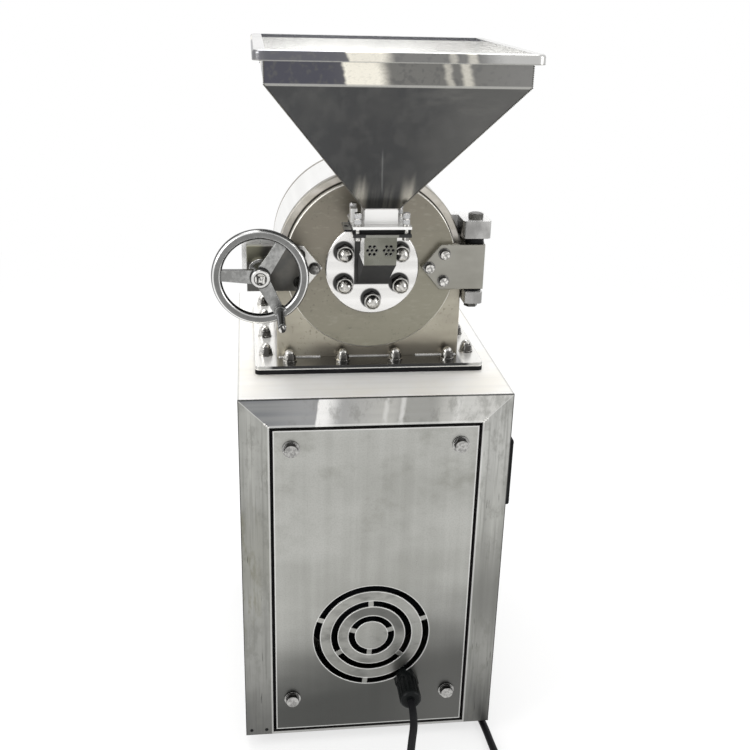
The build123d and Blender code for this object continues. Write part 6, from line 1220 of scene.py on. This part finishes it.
# %% Steps that come back
SIDES = (-1, 1)
CORNERS = [(side, end) for side in SIDES for end in SIDES]


def lone(piece):
    """Makes an object the only selected one."""
    bpy.ops.object.select_all(action="DESELECT")
    piece.select_set(True)
    bpy.context.view_layer.objects.active = piece
    return piece


def settle(piece):
    """Applies an object's modifiers and puts its place into its mesh."""
    lone(piece)
    for modifier in list(piece.modifiers):
        bpy.ops.object.modifier_apply(modifier=modifier.name)
    bpy.ops.object.transform_apply(location=True, rotation=True, scale=True)
    return piece


def join(name, parts):
    """Joins settled objects into one piece."""
    lone(parts[0])
    for part in parts[1:]:
        part.select_set(True)
    if len(parts) > 1:
        bpy.ops.object.join()
    parts[0].name = name
    parts[0].data.name = name
    return parts[0]


def copies(model, places):
    """Sets a copy of a shape at each place, each with its own mesh, and takes the model away."""
    made = []
    for place in places:
        lone(model)
        bpy.ops.object.duplicate()
        copy = bpy.context.object
        copy.location = place
        made.append(settle(copy))
    bpy.data.objects.remove(model)
    return made


def dress(piece, body, look, angle=40.0):
    """Gives a piece its shading, its finish and the body that it moves with."""
    lone(piece)
    bpy.ops.object.shade_smooth_by_angle(angle=radians(angle))
    piece.data.materials.clear()
    piece.data.materials.append(look)
    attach(piece, body)
    print(piece.name, len(piece.data.polygons), "faces on", body)


def edit_faces(piece, wanted):
    """Enters edit mode with only the wanted faces selected."""
    lone(piece)
    bpy.ops.object.mode_set(mode="EDIT")
    bpy.ops.mesh.select_mode(type="FACE")
    bpy.ops.mesh.select_all(action="DESELECT")
    bpy.ops.object.mode_set(mode="OBJECT")
    for face in piece.data.polygons:
        face.select = wanted(face)
    bpy.ops.object.mode_set(mode="EDIT")


print("modelling steps ready")

# %% [markdown]
# ## Welds
# The hopper is folded from sheet and welded down its corners. A smooth round strip would look like putty: a
# real bead is a row of small ripples that freeze one after the other. So one ripple is a low, flattened
# ball, and an Array modifier repeats it along the seam.

# %% Weld beads of the hopper
WELD_FLATNESS = 0.9
HOPPER_FOOT, HOPPER_FOOT_HEIGHT = 0.023, 0.882
HOPPER_BROAD = 0.158
HOPPER_BEAD = 0.0022


def weld(start, end, width, pitch=0.0024):
    """A row of ripples from start to end."""
    run = Vector(end) - Vector(start)
    bpy.ops.object.select_all(action="DESELECT")
    bpy.ops.mesh.primitive_uv_sphere_add(segments=8, ring_count=6, radius=width / 2,
                                         scale=(1, 1, WELD_FLATNESS))
    bead = bpy.context.object
    row = bead.modifiers.new("row", "ARRAY")
    row.count = int(run.length / pitch) + 1
    row.use_relative_offset = False
    row.use_constant_offset = True
    row.constant_offset_displace = (0, 0, run.length / (row.count - 1))
    bead.rotation_euler = run.to_track_quat("Z", "Y").to_euler()
    bead.location = start
    return settle(bead)


weld_look = satin_steel("weld_steel", (0.17, 0.163, 0.14), (0.105, 0.102, 0.094), 0.34)
corner_welds = []
for side, end in CORNERS:
    foot = (side * HOPPER_FOOT, HOPPER_MIDDLE + end * HOPPER_FOOT, HOPPER_FOOT_HEIGHT)
    knee = (side * HOPPER_BROAD, HOPPER_MIDDLE + end * HOPPER_BROAD, BAND_FOOT)
    corner_welds.append(weld(foot, knee, HOPPER_BEAD))
    corner_welds.append(weld(knee, (*knee[:2], LIP_FOOT), HOPPER_BEAD))
dress(join("hopper_welds", corner_welds), "door", weld_look)

# %% [markdown]
# The housing is held to its bed by three stitches in front and three behind, and each mitre of the frame by
# one short dot. Longer beads would warp such plates. They are the same ripples, but thicker, so that each
# lies over the next.

# %% Stitches of the housing and dots of the mitres
BED_TOP = 0.628
HOUSING_FRONT, HOUSING_BACK = -0.065, 0.097
STITCHES = ((-0.136, -0.075), (-0.045, 0.045), (0.075, 0.136))
STITCH_BEAD = 0.0052
OPENING_SIDE, OPENING_TOP, FRAME_FRONT = 0.156, 0.571, -0.2
DOT_INSET, DOT_RUN = 0.001, 0.0055
DOT_BEAD, DOT_PITCH = 0.0042, 0.0026

stitches = []
for first, last in STITCHES:
    for depth in (HOUSING_FRONT, HOUSING_BACK):
        stitches.append(weld((first, depth, BED_TOP), (last, depth, BED_TOP), STITCH_BEAD))
dress(join("housing_welds", stitches), "base", node_looks["hinge_bracket"])
mitre_dots = []
for side in SIDES:
    inner = Vector((side * (OPENING_SIDE + DOT_INSET), FRAME_FRONT, OPENING_TOP + DOT_INSET))
    outer = inner + Vector((side * DOT_RUN, 0, DOT_RUN))
    mitre_dots.append(weld(inner, outer, DOT_BEAD, DOT_PITCH))
dress(join("mitre_welds", mitre_dots), "base", slot_looks["bright_steel"])

# %% [markdown]
# ## Knurls
# The hinge pin's head and the four thumb nuts of the hopper's flange are knurled for the fingers. A normal
# map would leave their outline smooth, so every second face of a many-sided cylinder is inset and pushed
# out as a ridge.

# %% Pin head and thumb nuts
PIN_HEAD = (0.155, -0.073, 0.8495)
PIN_KNURL = {"radius": 0.01055, "height": 0.0070, "ridges": 30, "proud": 0.0006}
THUMB_NUT = 0.033
THUMB_HEIGHTS = (0.8675, 0.8755)
THUMB_KNURL = {"radius": 0.00455, "height": 0.0062, "ridges": 16, "proud": 0.0004}
RIDGE_GAP = 0.02
KNURL_ANGLE = 20.0


def knurl(radius, height, ridges, proud):
    """A ring of upright ridges."""
    bpy.ops.object.select_all(action="DESELECT")
    bpy.ops.mesh.primitive_cylinder_add(vertices=2 * ridges, radius=radius, depth=height)
    ring = settle(bpy.context.object)
    sides = [face.index for face in ring.data.polygons if abs(face.normal.z) < 0.5]
    edit_faces(ring, lambda face: face.index in sides[::2])
    bpy.ops.mesh.inset(thickness=radius * RIDGE_GAP, depth=proud, use_individual=True)
    bpy.ops.object.mode_set(mode="OBJECT")
    return ring


pin_ring = copies(knurl(**PIN_KNURL), [PIN_HEAD])
dress(join("pin_knurl", pin_ring), "base", node_looks["hinge_pin"], KNURL_ANGLE)
thumb_places = [(side * THUMB_NUT, HOPPER_MIDDLE + end * THUMB_NUT, height)
                for side, end in CORNERS for height in THUMB_HEIGHTS]
thumb_rings = copies(knurl(**THUMB_KNURL), thumb_places)
dress(join("thumb_knurls", thumb_rings), "door", slot_looks["bearing_steel"], KNURL_ANGLE)

# %% [markdown]
# ## Rivets
# Two black push rivets hold the left stile to the tray. Each is a short cylinder whose outer end is inset
# and pushed in, which leaves the hollow of its pin. A Boolean could cut that too, but an inset keeps the
# rim even.

# %% Push rivets
RIVET_RADIUS, RIVET_DEPTH = 0.0024, 0.0030
RIVET_RIM, RIVET_HOLLOW = 0.0008, 0.0012
RIVET_SINK = 0.0009
RIVET_PLACES = [(side, FRAME_FRONT + RIVET_SINK, 0.034) for side in (-0.191, -0.167)]
TO_FRONT = (pi / 2, 0, 0)


def rivet():
    """A rivet head that faces the front."""
    bpy.ops.object.select_all(action="DESELECT")
    bpy.ops.mesh.primitive_cylinder_add(vertices=24, radius=RIVET_RADIUS, depth=RIVET_DEPTH,
                                        rotation=TO_FRONT)
    head = settle(bpy.context.object)
    edit_faces(head, lambda face: face.normal.y < -0.9)
    bpy.ops.mesh.inset(thickness=RIVET_RIM, depth=-RIVET_HOLLOW)
    bpy.ops.object.mode_set(mode="OBJECT")
    return head


rivets = copies(rivet(), RIVET_PLACES)
dress(join("stile_rivets", rivets), "base", slot_looks["black_plastic"])

# %% [markdown]
# ## Starter
# The push-button box on the right has a chrome bezel round each button. The bezel could be a torus, but a
# real one has a flat wall, so it is an open tube that Solidify thickens and Bevel rounds. The button still
# passes through.

# %% Button bezels
STARTER_FACE = 0.240
BEZEL_RADIUS, BEZEL_WALL, BEZEL_DEPTH = 0.0117, 0.0024, 0.0030
BEZEL_PROUD = 0.0011
BEZEL_ROUNDING = 0.0007
BUTTON_PLACES = [(STARTER_FACE + BEZEL_PROUD, -0.0475, height) for height in (0.4475, 0.3995)]
TO_RIGHT = (0, pi / 2, 0)


def bezel():
    """A ring that faces right."""
    bpy.ops.object.select_all(action="DESELECT")
    bpy.ops.mesh.primitive_cylinder_add(vertices=48, radius=BEZEL_RADIUS, depth=BEZEL_DEPTH,
                                        end_fill_type="NOTHING", rotation=TO_RIGHT)
    ring = bpy.context.object
    wall = ring.modifiers.new("wall", "SOLIDIFY")
    wall.thickness = BEZEL_WALL
    wall.offset = 1.0
    edge = ring.modifiers.new("edge", "BEVEL")
    edge.width = BEZEL_ROUNDING
    edge.segments = 3
    return settle(ring)


bezels = copies(bezel(), BUTTON_PLACES)
dress(join("button_bezels", bezels), "base", slot_looks["bearing_steel"])

# %% [markdown]
# Four cross-slotted screws hold the starter's cover. A screw head is a bevelled disc from which a Boolean
# modifier cuts the cross with two blades: an inset could not leave the slots' square ends.

# %% Cover screws
SCREW_RADIUS, SCREW_DEPTH, SCREW_ROUNDING = 0.0031, 0.0022, 0.0009
SCREW_PROUD = 0.0006
SLOT_SIZES = ((0.002, 0.0007, 0.0040), (0.002, 0.0040, 0.0007))
SLOT_MIDDLE = (0.0014, 0, 0)
SCREW_PLACES = [(STARTER_FACE + SCREW_PROUD, y, z) for y in (-0.0725, -0.0225) for z in (0.3715, 0.4755)]


def screw_head():
    """A pan head that faces right, with a cross slot."""
    bpy.ops.object.select_all(action="DESELECT")
    bpy.ops.mesh.primitive_cylinder_add(vertices=24, radius=SCREW_RADIUS, depth=SCREW_DEPTH,
                                        rotation=TO_RIGHT)
    head = settle(bpy.context.object)
    edit_faces(head, lambda face: face.normal.x > 0.9)
    bpy.ops.mesh.bevel(offset=SCREW_ROUNDING, segments=3, affect="EDGES")
    bpy.ops.object.mode_set(mode="OBJECT")
    for size in SLOT_SIZES:
        bpy.ops.object.select_all(action="DESELECT")
        bpy.ops.mesh.primitive_cube_add(size=1.0, scale=size, location=SLOT_MIDDLE)
        blade = settle(bpy.context.object)
        lone(head)
        cut = head.modifiers.new("slot", "BOOLEAN")
        cut.object = blade
        cut.operation = "DIFFERENCE"
        cut.solver = "EXACT"
        bpy.ops.object.modifier_apply(modifier=cut.name)
        bpy.data.objects.remove(blade)
    return head


screws = copies(screw_head(), SCREW_PLACES)
dress(join("starter_screws", screws), "base", slot_looks["bearing_steel"])

# %% [markdown]
# ## Plug
# The lead ends in a moulded round-pin plug with a ribbed boot. It is turned, in effect, so a circle is
# extruded and scaled station by station along its axis: narrow and wide in turn for the ribs, and swelling
# for the grip. A Screw modifier on a profile would give the same shape, but with a seam to close. Its pins
# are metal and so a piece of their own.

# %% Plug and pins
BOOT_START = [(0.0, 0.0064), (0.005, 0.0068)]
BOOT_RIBS = 7
RIB_FIRST, RIB_PITCH = 0.006, 0.0062
RIB_RADIUS, RIB_GROWTH = 0.0078, 0.0006
RIB_PROFILE = [(0.0, -0.0012), (0.0006, 0.0), (0.0034, 0.0002), (0.0040, -0.0010)]
PLUG_BODY = [
    (0.0500, 0.0115), (0.0515, 0.0165), (0.0545, 0.0188), (0.0620, 0.0196), (0.0700, 0.0178),
    (0.0790, 0.0174), (0.0860, 0.0186), (0.0900, 0.0203), (0.0940, 0.0203), (0.0950, 0.0194),
]
PIN_STATIONS = [(0.0940, 0.0024), (0.1118, 0.0024), (0.1132, 0.0020), (0.1138, 0.0012)]
PIN_ASIDE = 0.0095
PLUG_ANGLE = 50.0


def turned(stations, corners):
    """A solid of stations (distance, radius) along -X from the origin."""
    first, radius = stations[0]
    bpy.ops.object.select_all(action="DESELECT")
    bpy.ops.mesh.primitive_circle_add(vertices=corners, radius=radius, fill_type="NGON", rotation=TO_RIGHT,
                                      location=(-first, 0, 0))
    solid = settle(bpy.context.object)
    bpy.ops.object.mode_set(mode="EDIT")
    bpy.ops.mesh.select_all(action="SELECT")
    for distance, wide in stations[1:]:
        bpy.ops.mesh.extrude_region_move(TRANSFORM_OT_translate={"value": (first - distance, 0, 0)})
        bpy.ops.transform.resize(value=(1, wide / radius, wide / radius), center_override=(-distance, 0, 0))
        first, radius = distance, wide
    bpy.ops.mesh.select_all(action="SELECT")
    bpy.ops.mesh.normals_make_consistent(inside=False)
    bpy.ops.object.mode_set(mode="OBJECT")
    return solid


boot = list(BOOT_START)
for rib in range(BOOT_RIBS):
    boot += [(RIB_FIRST + RIB_PITCH * rib + along, RIB_RADIUS + RIB_GROWTH * rib + proud)
             for along, proud in RIB_PROFILE]
plug = join("plug_moulding", copies(turned(boot + PLUG_BODY, 40), [lead_end]))
dress(plug, "base", slot_looks["black_plastic"], PLUG_ANGLE)
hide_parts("plug")
pin_places = [lead_end + Vector((0, 0, side * PIN_ASIDE)) for side in SIDES]
plug_pins = join("plug_pins", copies(turned(PIN_STATIONS, 16), pin_places))
dress(plug_pins, "base", slot_looks["bearing_steel"], PLUG_ANGLE)
